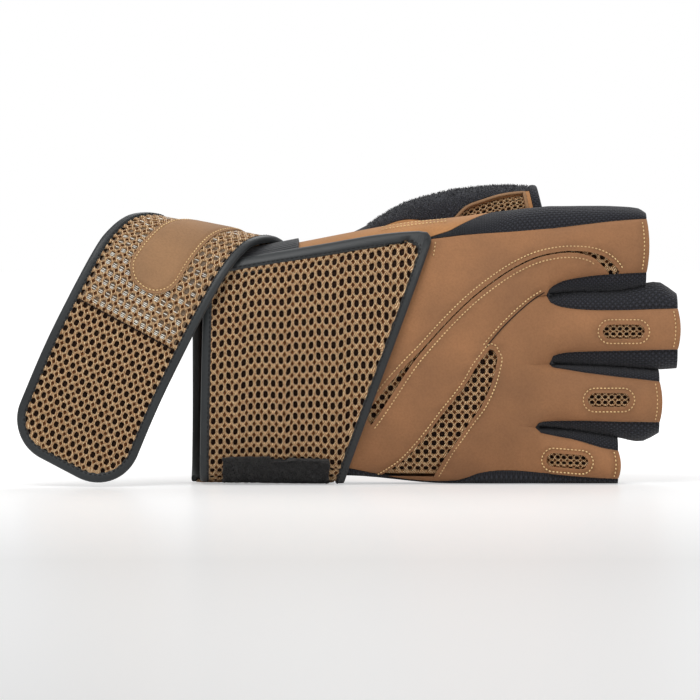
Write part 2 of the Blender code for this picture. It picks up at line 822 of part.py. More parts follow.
def flap_right(height):
    """The slanted right edge of the flap."""
    return FLAP_EDGE_SHARES[0] + FLAP_EDGE_SHARES[1] * height


def flap_top(along):
    """The top edge of the flap, just below the fold of the wrist."""
    return hand("top_fold", along) - mix(*FLAP_DROP_SHARES, min(along / FLAP_DROP_END_SHARE, 1.0))


def flap_left(height):
    return mix(*FLAP_LEFT_SHARES, height)


def flap_point(s, t, distance, inset):
    """A point of the flap: s from its left to its right edge, t from the low fold to its top edge."""
    height = 0.45
    for _ in range(4):
        left = flap_left(height) + inset / HAND_LENGTH
        right = flap_right(height) - inset / HAND_LENGTH
        top = flap_top(mix(left, right, s)) - inset / KNUCKLE_WIDTH
        below = max(FLAP_CORNER - (top - height) * KNUCKLE_WIDTH, 0.0)
        corner = FLAP_CORNER - math.sqrt(max(FLAP_CORNER ** 2 - below ** 2, 0.0))
        along = mix(left, right, s) - corner / HAND_LENGTH * max(2 * s - 1, 0.0)
        turn = mix(-1.0, turn_at_height(along, flap_top(along) - inset / KNUCKLE_WIDTH), t)
        height = hand_point(along, turn, -1).z / KNUCKLE_WIDTH

    def skin(a, b):
        return hand_point(a, b, -1)

    return on_floor(moved_out(skin, along, min(max(turn, -0.999), 1.9), distance))


def cuff_point(s, t, distance, inset):
    """A point of the cuff on the far side: t from its top edge to the low fold."""
    end = CUFF_START_SHARE + CUFF_LENGTH / HAND_LENGTH
    along = mix(CUFF_START_SHARE + inset / HAND_LENGTH, end - inset / HAND_LENGTH, s)
    top = hand("top_fold", along) - CUFF_DROP_SHARE - inset / KNUCKLE_WIDTH
    turn = mix(turn_at_height(along, top), -1.0, t)

    def skin(a, b):
        return hand_point(a, -b, 1)

    return on_floor(moved_out(skin, along, -max(turn, CUFF_LOW_TURN), distance))


def wrist_pieces(materials, collection):
    knit, binding = materials["knit"], materials["binding"]
    seat = WRAP_GAP + KNIT
    inset = BINDING + 2 * GAP
    band = sheet(*FLAP_GRID, lambda s, t: flap_point(s, eased(t), seat, inset))
    add_wall(add_object("wrist_band", band, knit, collection), KNIT)
    cuff = sheet(*CUFF_GRID, lambda s, t: cuff_point(s, eased(t), seat, inset))
    add_wall(add_object("cuff", cuff, knit, collection), KNIT)
    foot, corner, last = FLAP_EDGE_FOOT_SHARE, CORNER_SHARE, 1 - CORNER_SHARE
    route = [(0, share) for share in shares(foot, last, EDGE_STEPS)]
    route += [(share, 1) for share in shares(corner, last, EDGE_STEPS)]
    route += [(1, share) for share in shares(last, foot, EDGE_STEPS)]
    height = WRAP_GAP + BINDING / 2
    points = [flap_point(s, t, height, BINDING / 2) for s, t in route]
    bead("wrist_band_binding", lifted(points), BINDING, binding, collection)
    route = [(0, share) for share in shares(CUFF_EDGE_FOOT_SHARE, corner, EDGE_STEPS)]
    route += [(share, 0) for share in shares(corner, last, SHORT_EDGE_STEPS)]
    route += [(1, share) for share in shares(corner, CUFF_EDGE_FOOT_SHARE, EDGE_STEPS)]
    points = [cuff_point(s, t, height, BINDING / 2) for s, t in route]
    bead("cuff_binding", lifted(points), BINDING, binding, collection)

    def patch(s, t):
        along = mix(*PATCH_SPAN_SHARES, s)
        turn = mix(PATCH_LOW_TURN, turn_at_height(along, PATCH_TOP_SHARE), t)
        rise = seat + WRAP_GAP + HOOK_PILE
        return on_floor(moved_out(lambda a, b: hand_point(a, b, -1), along, turn, rise), PATCH_FLOOR)

    pile = add_object("hook_patch", sheet(*HOOK_PATCH_GRID, patch), materials["hook"], collection)
    add_wall(pile, HOOK_PILE)

    def over_fold(along, turn):
        border, fold = hand("top_border", along), hand("top_fold", along)
        angle = turn * math.pi / 2
        depth = surface_depth(along, border)
        return spot(along, depth * math.sin(angle), mix(border, fold, math.cos(angle)))

    def elastic(s, t):
        along = mix(*ELASTIC_SPAN_SHARES, s)
        return moved_out(over_fold, along, mix(*ELASTIC_TURNS, t), GAP + ELASTIC)

    band = add_object("wrist_elastic", sheet(*ELASTIC_GRID, elastic), materials["elastic"], collection)
    add_wall(band, ELASTIC)


def shares(start, end, count):
    return [mix(start, end, step / (count - 1)) for step in range(count)]


def lifted(points):
    """Points of a bead's middle line, kept its radius above the floor."""
    return [on_floor(point, BINDING / 2) for point in points]


# Strap


def strap_row(position):
    """The strap's left and right edge at a position counted in rows of its table."""
    rows = [(index, *row) for index, row in enumerate(STRAP_TABLE)]
    values = {name: smooth_value(rows, column + 1, position) for column, name in enumerate(STRAP_COLUMNS)}
    edges = []
    for side in ("left", "right"):
        edge = spot(0, values[side + "_depth"] * STRAP_DEPTH, values[side + "_height"])
        edges.append(edge + Vector((values[side] * STRAP_REACH, 0, 0)))
    start, end = edges
    return (start + end) / 2, (end - start).normalized()


def strap_lengths():
    """Positions along the strap's table and the length of the middle line up to each."""
    steps = 6 * (len(STRAP_TABLE) - 1)
    marks, total, last = [], 0.0, strap_row(0)[0]
    for step in range(steps + 1):
        position = step * (len(STRAP_TABLE) - 1) / steps
        middle = strap_row(position)[0]
        total += (middle - last).length
        marks.append((total, position))
        last = middle
    return marks


STRAP_MARKS = strap_lengths()
STRAP_LENGTH = STRAP_MARKS[-1][0]


def strap_point(length, across, lift=0.0):
    """A point of the strap's outer face, at a length from the sewn end and a distance across."""
    def place(a, b):
        middle, side = strap_row(mix_rows(STRAP_MARKS, a * STRAP_LENGTH))
        return middle + side * b * STRAP_WIDTH

    return moved_out(place, length / STRAP_LENGTH, across / STRAP_WIDTH, lift)


def strap_half(length, inset, side):
    """Half the strap's width at a length, inside its outline with rounded end corners."""
    radius = STRAP_ROUND[0 if side < 0 else 1]
    left = STRAP_LENGTH - length
    corner = max(radius - left, 0.0)
    trim = radius - math.sqrt(max((radius - inset) ** 2 - corner ** 2, 0.0))
    return STRAP_WIDTH / 2 - max(trim, inset)


def strap_sheet(name, grid, span, half, thickness, lift, material, collection):
    """A layer of the strap between two lengths, half(length, side) wide."""
    def place(s, t):
        length = mix(span[0], span[1], 1 - (1 - s) ** END_FINENESS)
        across = mix(-half(length, -1), half(length, 1), t)
        return strap_point(length, across, lift)

    mesh = sheet(*grid, place)
    return add_wall(add_object(name, mesh, material, collection), thickness)


def strap_pieces(materials, collection):
    inset = BINDING + 2 * GAP

    def full(length, side):
        return strap_half(length, inset, side)

    def tab(length, side):
        radius = TAB_WIDTH / 2
        corner = max(radius - (TAB_SPAN_SHARES[1] * STRAP_LENGTH - length), 0.0)
        return max(math.sqrt(max(radius ** 2 - corner ** 2, 0.0)), TAB_END_SHARE * radius)

    def tape(length, side):
        return STRAP_WIDTH / 2 - inset - TAPE_MARGIN

    strap_sheet("strap", STRAP_GRID, (0.0, STRAP_LENGTH - inset), full, KNIT, 0.0, materials["knit"],
                collection)
    strap_sheet("strap_tab", TAB_GRID, [share * STRAP_LENGTH for share in TAB_SPAN_SHARES], tab, LEATHER,
                GAP + LEATHER, materials["leather"], collection)
    strap_sheet("strap_hook_tape", TAPE_GRID, [share * STRAP_LENGTH for share in TAPE_SPAN_SHARES], tape, TAPE,
                -KNIT - GAP, materials["tape"], collection)
    edge = BINDING / 2
    straight = STRAP_LENGTH - max(STRAP_ROUND)
    points = [strap_point(share * straight, -strap_half(0, edge, -1), -KNIT / 2)
              for share in shares(0.0, 1.0, STRAP_EDGE_STEPS)]
    for side in (-1, 1):
        radius = STRAP_ROUND[0 if side < 0 else 1]
        turn = [math.pi / 2 * share for share in shares(0.0, 1.0, SHORT_EDGE_STEPS)]
        arc = [strap_point(STRAP_LENGTH - radius + (radius - edge) * math.sin(angle),
                           side * (STRAP_WIDTH / 2 - radius + (radius - edge) * math.cos(angle)),
                           -KNIT / 2) for angle in turn]
        points += arc if side < 0 else arc[::-1]
    points += [strap_point(share * straight, strap_half(0, edge, 1), -KNIT / 2)
               for share in shares(1 - CORNER_SHARE, 0.0, STRAP_EDGE_STEPS)]
    bead("strap_binding", lifted(points), BINDING, materials["binding"], collection)


def build():
    for old in list(bpy.data.objects):
        bpy.data.objects.remove(old, do_unlink=True)
    parts = bpy.data.collections.new("weightlifting_glove")
    cutters = bpy.data.collections.new("cutters")
    for collection in (parts, cutters):
        bpy.context.scene.collection.children.link(collection)
    materials = {
        "leather": finish_material("leather", (0.35, 0.16, 0.07), 0.62),
        "fabric": finish_material("black_fabric", (0.017, 0.018, 0.026), 0.85, 0.2),
        "terry": finish_material("black_terry", (0.012, 0.012, 0.014), 0.95, 0.3),
        "knit": finish_material("knitted_mesh", (0.26, 0.15, 0.06), 0.7),
        "binding": finish_material("binding", (0.038, 0.042, 0.045), 0.45),
        "hook": finish_material("hook_fastener", (0.008, 0.008, 0.009), 0.95),
        "tape": finish_material("hook_tape", (0.45, 0.40, 0.33), 0.35),
        "elastic": finish_material("elastic", (0.01, 0.01, 0.012), 0.8),
    }
    back = panel("back_panel", -1, materials["leather"], parts)
    palm = panel("palm_panel", 1, materials["leather"], parts)
    for name, rows in (("slit", SLIT_TABLE), ("wedge", WEDGE_TABLE)):
        cut(back, opening_cutter(name + "_cutter", rows, cutters), name)
        insert(name + "_mesh", rows, None, materials["knit"], parts)
    for name in VENTS:
        cut(back, opening_cutter("vent_cutter_" + name, vent_rows(name), cutters), "vent_" + name)
        insert("vent_mesh_" + name, vent_backing_rows(name), name, materials["knit"], parts)
    tip = {name: rows[-1][0] for name, rows in FINGER_TABLES.items()}
    outer_strip("little_side", LITTLE_SIDE_GRID, (0.0, tip["little"]), whole_width,
                materials["fabric"], parts)
    index_strip = outer_strip("index_side", INDEX_SIDE_GRID, (HAND_SEAM_START_SHARE, tip["index"]),
                              index_edges, materials["fabric"], parts)
    gusset = outer_strip("thumb_gusset", GUSSET_GRID, (0.0, GUSSET_END_SHARE), gusset_edges,
                         materials["leather"], parts)
    for index in range(len(FINGERS) - 1):
        fourchette(index, materials["fabric"], parts)
    hand_cutter, thumb_cutter = hand_envelope(cutters), thumb_envelope(cutters)
    for piece in (palm, gusset, index_strip):
        cut(piece, thumb_cutter, "thumb")
    terry = thumb_wall("thumb_back", TERRY, terry_edges, materials["terry"], parts)
    leather = thumb_wall("thumb_front", LEATHER, thumb_leather_edges, materials["leather"], parts)
    for piece in (terry, leather):
        cut(piece, hand_cutter, "hand")
    patch, opening = thumb_patch_shape(materials["knit"], (parts, cutters))
    cut(leather, opening, "patch")
    thumb_binding(materials["fabric"], parts)
    wrist_pieces(materials, parts)
    strap_pieces(materials, parts)


build()
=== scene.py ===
"""Looks of a fingerless weightlifting glove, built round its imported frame.

The glove stands on its little finger edge. +X points to the fingertips, +Z from the little finger to
the index finger, and -Y out of the back of the hand. The shape tables hold shares of the named sizes,
as the part's own source does, so every piece lies where the CAD solid that it stands for lies.
"""
import logging
import math
import random
from dataclasses import dataclass
from enum import Enum
from typing import Callable, Iterator, Sequence

import bmesh
import bpy
from bmesh.types import BMesh, BMVert
from bpy.types import Material, Node, NodeSocket, NodeTree, Object
from mathutils import Matrix, Vector, kdtree, noise


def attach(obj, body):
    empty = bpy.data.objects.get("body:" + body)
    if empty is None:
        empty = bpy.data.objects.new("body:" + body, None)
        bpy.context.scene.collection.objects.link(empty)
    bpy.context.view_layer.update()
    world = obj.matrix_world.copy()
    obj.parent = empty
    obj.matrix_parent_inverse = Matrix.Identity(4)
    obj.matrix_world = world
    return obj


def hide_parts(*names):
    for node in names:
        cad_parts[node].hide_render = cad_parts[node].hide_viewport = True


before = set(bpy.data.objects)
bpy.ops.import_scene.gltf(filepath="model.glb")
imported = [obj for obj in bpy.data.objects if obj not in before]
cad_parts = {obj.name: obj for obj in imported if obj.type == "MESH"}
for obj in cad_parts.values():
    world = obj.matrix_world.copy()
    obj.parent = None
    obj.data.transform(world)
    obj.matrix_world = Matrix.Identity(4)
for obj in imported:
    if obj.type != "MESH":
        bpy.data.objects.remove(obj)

MM = 0.001
BODY = "root"
FLOOR_GAP = 0.15 * MM
BINDING = 3.4 * MM
BINDING_HALF = (BINDING / 2, 1.35 * MM)
Place = Callable[[float, float], Vector]
Edge = Callable[[float, float, float], Vector]
Keep = Callable[[float, float], bool]
Colour = tuple[float, float, float]
Line = list[tuple[float, float]]
Edges = tuple[Line, Line]
Route = list[tuple[Vector, Vector]]
LOG = logging.getLogger("weightlifting_glove")


class Finger(Enum):
    """The four fingers, from the edge that the glove stands on upwards."""

    LITTLE = "little"
    RING = "ring"
    MIDDLE = "middle"
    INDEX = "index"


class Side(Enum):
    """The two sides of the hand, by the sign of Y."""

    BACK = -1
    PALM = 1


FINGERS = tuple(Finger)

HAND_COLUMNS = ("along", "low_fold", "low_border", "top_border", "top_fold", "depth")
HAND_ROWS = (
    (0.000, 0.022, 0.110, 0.725, 0.812, 0.90),
    (0.106, 0.022, 0.110, 0.745, 0.836, 0.93),
    (0.212, 0.022, 0.088, 0.786, 0.870, 0.965),
    (0.318, 0.018, 0.052, 0.827, 0.905, 0.98),
    (0.424, 0.000, 0.016, 0.865, 0.937, 0.96),
    (0.534, -0.006, 0.012, 0.890, 0.957, 0.90),
    (0.582, -0.010, 0.040, 0.897, 0.968, 0.86),
    (0.636, -0.015, 0.048, 0.903, 0.980, 0.80),
    (0.727, -0.015, 0.038, 0.914, 0.996, 0.68),
)
FINGER_ROWS = {
    Finger.LITTLE: (
        (0.700, -0.015, 0.038, 0.2010, 0.2045, 1.04),
        (0.707, -0.014, 0.037, 0.1860, 0.2040, 1.03),
        (0.722, -0.013, 0.036, 0.1790, 0.2040, 1.03),
        (0.752, -0.011, 0.032, 0.1680, 0.2010, 1.01),
        (0.782, -0.009, 0.027, 0.1580, 0.1955, 0.99),
        (0.839, -0.007, 0.020, 0.1295, 0.1820, 0.95),
        (0.873, -0.006, 0.018, 0.1190, 0.1710, 0.90),
    ),
    Finger.RING: (
        (0.700, 0.2040, 0.2090, 0.4280, 0.4310, 1.04),
        (0.706, 0.2020, 0.2215, 0.4275, 0.4310, 1.04),
        (0.729, 0.1990, 0.2257, 0.4255, 0.4315, 1.04),
        (0.735, 0.1975, 0.2258, 0.4180, 0.4310, 1.04),
        (0.758, 0.1930, 0.2262, 0.4120, 0.4300, 1.04),
        (0.803, 0.1830, 0.2265, 0.3990, 0.4280, 1.03),
        (0.873, 0.1630, 0.2230, 0.3840, 0.4215, 1.00),
        (0.924, 0.1490, 0.2220, 0.3745, 0.4140, 0.97),
        (0.960, 0.1790, 0.2210, 0.3670, 0.4080, 0.94),
    ),
    Finger.MIDDLE: (
        (0.722, 0.4290, 0.4320, 0.6720, 0.6790, 1.04),
        (0.728, 0.4280, 0.4480, 0.6530, 0.6800, 1.05),
        (0.735, 0.4270, 0.4590, 0.6450, 0.6830, 1.05),
        (0.756, 0.4255, 0.4695, 0.6335, 0.6890, 1.07),
        (0.803, 0.4225, 0.4748, 0.6245, 0.6960, 1.08),
        (0.879, 0.4170, 0.4775, 0.6230, 0.6970, 1.04),
        (0.958, 0.4080, 0.4810, 0.6270, 0.7240, 1.00),
        (0.998, 0.4120, 0.4820, 0.6290, 0.6820, 0.98),
    ),
    Finger.INDEX: (
        (0.722, 0.6755, 0.6800, 0.914, 0.996, 1.04),
        (0.728, 0.6765, 0.7010, 0.915, 0.996, 1.04),
        (0.735, 0.6780, 0.7100, 0.916, 0.996, 1.04),
        (0.758, 0.6830, 0.7285, 0.921, 0.996, 1.04),
        (0.811, 0.6850, 0.7446, 0.932, 0.997, 1.02),
        (0.862, 0.6860, 0.7520, 0.942, 0.996, 1.00),
        (0.917, 0.7020, 0.7570, 0.949, 0.988, 0.95),
        (0.932, 0.7080, 0.7580, 0.950, 0.972, 0.94),
    ),
}
# Height and length share of each seam between two fingers, with the hand's two outer borders
CROTCHES = ((0.04, 0.727), (0.205, 0.697), (0.430, 0.727), (0.676, 0.721), (0.914, 0.727))

THUMB_COLUMNS = ("along", "across", "height", "half_depth", "half_height", "seam_degrees")
THUMB_ROWS = (
    (0.245, 0.32, 0.740, 0.70, 0.85, 50),
    (0.340, 0.55, 0.800, 0.95, 1.00, 48),
    (0.420, 0.80, 0.872, 1.00, 1.05, 34),
    (0.515, 0.95, 0.920, 1.00, 1.03, 9),
    (0.557, 0.98, 0.932, 1.00, 1.01, 31),
    (0.600, 1.00, 0.942, 1.00, 1.00, 40),
    (0.645, 1.01, 0.946, 0.98, 0.99, 50),
    (0.702, 1.02, 0.948, 0.97, 0.98, 57),
)

STRAP_COLUMNS = ("row", "left", "left_depth", "left_height", "right", "right_depth", "right_height")
STRAP_ROWS = (
    (0, -0.065, 1.06, 0.48, 0.615, 1.06, 0.46),
    (1, -0.090, 1.06, 0.62, 0.590, 1.06, 0.60),
    (2, -0.130, 0.96, 0.76, 0.535, 0.96, 0.72),
    (3, -0.195, 0.68, 0.88, 0.465, 0.70, 0.82),
    (4, -0.240, 0.32, 0.951, 0.420, 0.36, 0.867),
    (5, -0.300, -0.02, 0.970, 0.345, -0.06, 0.885),
    (6, -0.385, -0.28, 0.957, 0.215, -0.45, 0.862),
    (7, -0.490, -0.52, 0.908, 0.108, -0.78, 0.765),
    (8, -0.591, -0.72, 0.835, 0.011, -0.94, 0.619),
    (9, -0.722, -0.87, 0.667, -0.118, -0.99, 0.451),
    (10, -0.860, -0.95, 0.473, -0.256, -1.00, 0.257),
    (11, -1.045, -1.00, 0.165, -0.450, -1.00, -0.045),
)

# Middle line of the curved slit and half of its gap in metres. Columns: along, height, half gap
SLIT_LINE = (
    (0.345, 0.230, 1.9 * MM),
    (0.373, 0.299, 1.8 * MM),
    (0.404, 0.371, 1.3 * MM),
    (0.432, 0.432, 0.7 * MM),
    (0.458, 0.482, 0.32 * MM),
    (0.508, 0.576, 0.24 * MM),
    (0.557, 0.658, 0.22 * MM),
    (0.602, 0.719, 0.22 * MM),
    (0.650, 0.773, 0.24 * MM),
    (0.701, 0.813, 0.26 * MM),
    (0.752, 0.831, 0.28 * MM),
    (0.790, 0.831, 0.40 * MM),
    (0.820, 0.820, 0.85 * MM),
    (0.841, 0.799, 1.50 * MM),
    (0.857, 0.773, 1.75 * MM),
    (0.868, 0.745, 1.90 * MM),
)
# The two edges of the wedge opening. Columns: along and height of the left, then of the right edge
WEDGE_EDGES = (
    (0.6000, 0.4860, 0.6085, 0.4840),
    (0.5900, 0.4640, 0.6157, 0.4590),
    (0.5740, 0.4300, 0.6145, 0.4300),
    (0.5560, 0.3750, 0.6070, 0.3780),
    (0.5340, 0.3240, 0.5970, 0.3300),
    (0.5080, 0.2680, 0.5800, 0.2720),
    (0.4800, 0.2050, 0.5583, 0.2209),
    (0.4500, 0.1420, 0.5360, 0.1650),
    (0.4200, 0.0880, 0.5120, 0.1080),
    (0.3900, 0.0500, 0.4930, 0.0520),
    (0.3700, 0.0280, 0.4840, 0.0260),
)
# The seam from the index finger's crotch to the top of the wedge
SECOND_SEAM = ((0.716, 0.687), (0.689, 0.658), (0.657, 0.612), (0.625, 0.558), (0.600, 0.508), (0.592, 0.490))
# Where the black strip's edge crosses the top fold, near the thumb. Columns: along, turn
FOLD_SEAM = ((0.470, -0.97), (0.517, -0.81), (0.572, -0.38), (0.615, 0.0), (0.660, 1.0))
# Height of the flap's top edge
FLAP_TOP_ROWS = ((-0.06, 0.752), (0.08, 0.795), (0.254, 0.846), (0.355, 0.877), (0.42, 0.892), (0.50, 0.902))
# Middle of each finger vent and its tilt in degrees
VENTS = {Finger.MIDDLE: (0.883, 0.547, 0.0), Finger.RING: (0.852, 0.302, 0.0),
         Finger.LITTLE: (0.765, 0.083, 5.0)}


def mix(first: float, second: float, share: float) -> float:
    """Return the value at a share of the way from the first to the second."""
    return first + (second - first) * share


def smoothstep(low: float, high: float, value: float) -> float:
    """Return 0 below low, 1 above high and a smooth rise between them."""
    share = min(max((value - low) / (high - low), 0.0), 1.0)
    return share * share * (3 - 2 * share)


def shares(start: float, end: float, count: int) -> list[float]:
    """Return evenly spaced values from start to end, both included."""
    return [mix(start, end, step / (count - 1)) for step in range(count)]


def oval(share: float, power: float = 2.0) -> float:
    """Return the height of an oval above its middle line, 1 in its middle and 0 at its ends."""
    return max(1.0 - abs(share) ** power, 0.0) ** (1.0 / power)


def eased(share: float) -> float:
    """Return a share whose steps are finer near both ends."""
    return (1 - math.cos(math.pi * share)) / 2


def on_floor(point: Vector, level: float = 0.0) -> Vector:
    """Return the point, raised to the level if it lies below it."""
    return Vector((point.x, point.y, max(point.z, level)))


class SmoothTable:
    """Smooth curves through the rows of a table, whose first column says where each row lies."""

    def __init__(self, columns: Sequence[str], rows: Sequence[Sequence[float]]) -> None:
        """Keep the table.

        Args:
            columns: The columns' names.
            rows: The rows, rising in their first value.
        """
        self.columns = {name: index for index, name in enumerate(columns)}
        self.rows = rows
        self.start, self.end = rows[0][0], rows[-1][0]

    def value(self, column: str | int, at: float) -> float:
        """Read a smooth curve through a column.

        Args:
            column: Its name or number.
            at: The place, by the first column.

        Returns:
            The value.
        """
        rows, last = self.rows, len(self.rows) - 1
        number = column if isinstance(column, int) else self.columns[column]
        if at <= rows[0][0]:
            return rows[0][number]
        if at >= rows[last][0]:
            return rows[last][number]
        index = 0
        while rows[index + 1][0] < at:
            index += 1
        slopes = []
        for row in (index, index + 1):
            low, high = max(row - 1, 0), min(row + 1, last)
            slopes.append((rows[high][number] - rows[low][number]) / (rows[high][0] - rows[low][0]))
        span = rows[index + 1][0] - rows[index][0]
        t = (at - rows[index][0]) / span
        square, cube = t * t, t * t * t
        return ((2 * cube - 3 * square + 1) * rows[index][number]
                + (cube - 2 * square + t) * span * slopes[0]
                + (3 * square - 2 * cube) * rows[index + 1][number]
                + (cube - square) * span * slopes[1])


HAND = SmoothTable(HAND_COLUMNS, HAND_ROWS)
FINGER_SHAPES = {finger: SmoothTable(HAND_COLUMNS, rows) for finger, rows in FINGER_ROWS.items()}
THUMB = SmoothTable(THUMB_COLUMNS, THUMB_ROWS)
STRAP = SmoothTable(STRAP_COLUMNS, STRAP_ROWS)
SLIT = SmoothTable(("along", "height", "gap"), SLIT_LINE)
FLAP_TOP = SmoothTable(("along", "height"), FLAP_TOP_ROWS)


def broken_line(rows: Line, at: float) -> float:
    """Read straight lines through a table.

    Args:
        rows: The rows, rising in their first value.
        at: The place.

    Returns:
        The second column's value.
    """
    if at <= rows[0][0]:
        return rows[0][1]
    for (low, first), (high, second) in zip(rows, rows[1:]):
        if at <= high:
            return mix(first, second, (at - low) / (high - low))
    return rows[-1][1]


class Walk:
    """A line of points that is walked by length."""

    def __init__(self, line: Sequence[Vector]) -> None:
        """Measure the line up to each of its points."""
        self.marks = [0.0]
        for first, second in zip(line, line[1:]):
            self.marks.append(self.marks[-1] + (second - first).length)
        self.length = self.marks[-1]

    def find(self, target: float) -> tuple[int, float]:
        """Return the number of the stretch that holds a length, and the share along it."""
        marks, index = self.marks, 0
        while index < len(marks) - 2 and marks[index + 1] < target:
            index += 1
        return index, (target - marks[index]) / max(marks[index + 1] - marks[index], 1e-9)


def evenly(line: Sequence[Vector], count: int) -> list[Vector]:
    """Return the points at the ends of even steps along a line of points."""
    walk = Walk(line)
    found = [walk.find(walk.length * step / count) for step in range(count + 1)]
    return [line[index].lerp(line[index + 1], share) for index, share in found]


@dataclass(frozen=True)
class HandForm:
    """The outer surface of the gloved hand, in shares of its length and of its width."""

    length: float = 170 * MM
    width: float = 100 * MM
    half_depth: float = 20 * MM
    finger_half_depth: float = 12 * MM
    rest_share: float = 0.66
    rounding: float = 2.3
    knuckle_start: float = 0.665
    knuckle_end: float = 0.755
    border_depth: float = 0.70
    flap_seat: float = 2.87 * MM
    thumb_half_depth: float = 11.5 * MM
    thumb_half_height: float = 12.5 * MM
    thumb_offset: float = 22 * MM
    thumb_lean: float = 2.6 * MM

    def spot(self, along: float, across: float, height: float) -> Vector:
        """Return the point at a share of the length, a depth in metres and a share of the width."""
        return Vector(((along - self.rest_share) * self.length, across, height * self.width))

    def along_at(self, x: float) -> float:
        """Return the share of the length at an X."""
        return x / self.length + self.rest_share

    def border(self, index: int, along: float) -> float:
        """Find the seam between two fingers, carried back over the hand.

        Args:
            index: 0 for the low border, to 4 for the top border.
            along: The share of the length.

        Returns:
            Its height.
        """
        if index == 0:
            return HAND.value("low_border", along)
        if index == len(FINGERS):
            return HAND.value("top_border", along)
        start = mix(HAND.value("low_border", 0), HAND.value("top_border", 0), index / len(FINGERS))
        height, end = CROTCHES[index]
        return mix(start, height, min(along / end, 1.0))

    def limits(self, finger: Finger, along: float) -> tuple[float, float]:
        """Find the leather borders of a finger's lane.

        Args:
            finger: The finger.
            along: The share of the length.

        Returns:
            The low and the high border.
        """
        index, shape = FINGERS.index(finger), FINGER_SHAPES[finger]
        if along < shape.start:
            return self.border(index, along), self.border(index + 1, along)
        return shape.value("low_border", along), shape.value("top_border", along)

    def lane(self, along: float, height: float) -> Finger:
        """Return the finger whose lane holds a point of the outline."""
        for index, finger in enumerate(FINGERS[:-1]):
            if height < self.border(index + 1, along):
                return finger
        return FINGERS[-1]

    def depth(self, along: float, height: float, finger: Finger | None = None) -> float:
        """Find how far the leather stands from the middle plane.

        Args:
            along: The share of the length.
            height: The share of the width.
            finger: The lane's finger, or None to find it.

        Returns:
            The half depth.
        """
        finger = finger or self.lane(along, height)
        on_hand = min(along, HAND.end)
        low, top = HAND.value("low_fold", on_hand), HAND.value("top_fold", on_hand)
        whole = oval((height - (low + top) / 2) / ((top - low) / 2), self.rounding)
        whole *= self.half_depth * HAND.value("depth", on_hand)
        share = smoothstep(self.knuckle_start, self.knuckle_end, along)
        if share == 0:
            return whole
        low, top = self.limits(finger, along)
        place = min(max((height - low) / (top - low), 0.0), 1.0)
        rounded = mix(self.border_depth, 1.0, oval(2 * place - 1))
        single = self.finger_half_depth * FINGER_SHAPES[finger].value("depth", along) * rounded
        return mix(whole, single, share)

    def skin(self, along: float, height: float, side: Side, finger: Finger | None = None) -> Vector:
        """Return the point of the leather at a place of the outline."""
        return on_floor(self.spot(along, side.value * self.depth(along, height, finger), height))

    def skin_normal(self, along: float, height: float, side: Side, finger: Finger | None = None) -> Vector:
        """Find the direction out of the leather.

        Args:
            along: The share of the length.
            height: The share of the width.
            side: The back of the hand or the palm.
            finger: The lane's finger, or None to find it.

        Returns:
            The direction.
        """
        step = 0.006
        run = self.depth(along + step, height, finger) - self.depth(along - step, height, finger)
        rise = self.depth(along, height + step, finger) - self.depth(along, height - step, finger)
        slope = Vector((-run / (2 * step * self.length), side.value, -rise / (2 * step * self.width)))
        return slope.normalized()

    def hand_level(self, along: float) -> float:
        """Return the lowest height of the hand's own walls, on the flap at the wrist."""
        return self.flap_seat * (1 - smoothstep(0.30, 0.52, along))

    def wrap(self, along: float, turn: float, side: Side) -> Vector:
        """Find a point of the hand's surface round its section.

        Args:
            along: The share of the length.
            turn: -1 at the low fold, 0 to 1 over the panel, 2 at the top fold.
            side: The back of the hand or the palm.

        Returns:
            The point.
        """
        low, top = HAND.value("low_border", along), HAND.value("top_border", along)
        if 0 <= turn <= 1:
            height = mix(low, top, turn)
            return self.spot(along, side.value * self.depth(along, height), height)
        border, fold, share = (low, "low_fold", -turn) if turn < 0 else (top, "top_fold", turn - 1)
        angle = share * math.pi / 2
        height = mix(border, HAND.value(fold, along), math.sin(angle))
        return self.spot(along, side.value * self.depth(along, border) * math.cos(angle), height)

    def turn_at(self, along: float, height: float) -> float:
        """Find the turn round the section at a height.

        Args:
            along: The share of the length.
            height: The share of the width.

        Returns:
            The turn, from -1 to 2.
        """
        low, top = HAND.value("low_border", along), HAND.value("top_border", along)
        if height > top:
            rise = (height - top) / (HAND.value("top_fold", along) - top)
            return 1 + math.asin(min(rise, 1.0)) * 2 / math.pi
        if height < low:
            fall = (low - height) / (low - HAND.value("low_fold", along))
            return -math.asin(min(fall, 1.0)) * 2 / math.pi
        return (height - low) / (top - low)

    def thumb(self, along: float, degrees: float, grow: float = 0.0) -> Vector:
        """Find a point of the thumb's tube.

        Args:
            along: The share of the length.
            degrees: 0 on the near side, 90 on top, 180 on the far side.
            grow: A distance out of the surface.

        Returns:
            The point.
        """
        angle = math.radians(degrees)
        across, height, deep, high = (THUMB.value(column, along) for column in THUMB_COLUMNS[1:5])
        middle = self.spot(along, across * self.thumb_offset, height)
        half_depth, half_height = deep * self.thumb_half_depth + grow, high * self.thumb_half_height + grow
        lean = self.thumb_lean * smoothstep(0.45, 0.70, along) * math.sin(angle)
        return middle + Vector((-lean, -half_depth * math.cos(angle), half_height * math.sin(angle)))


FORM = HandForm()


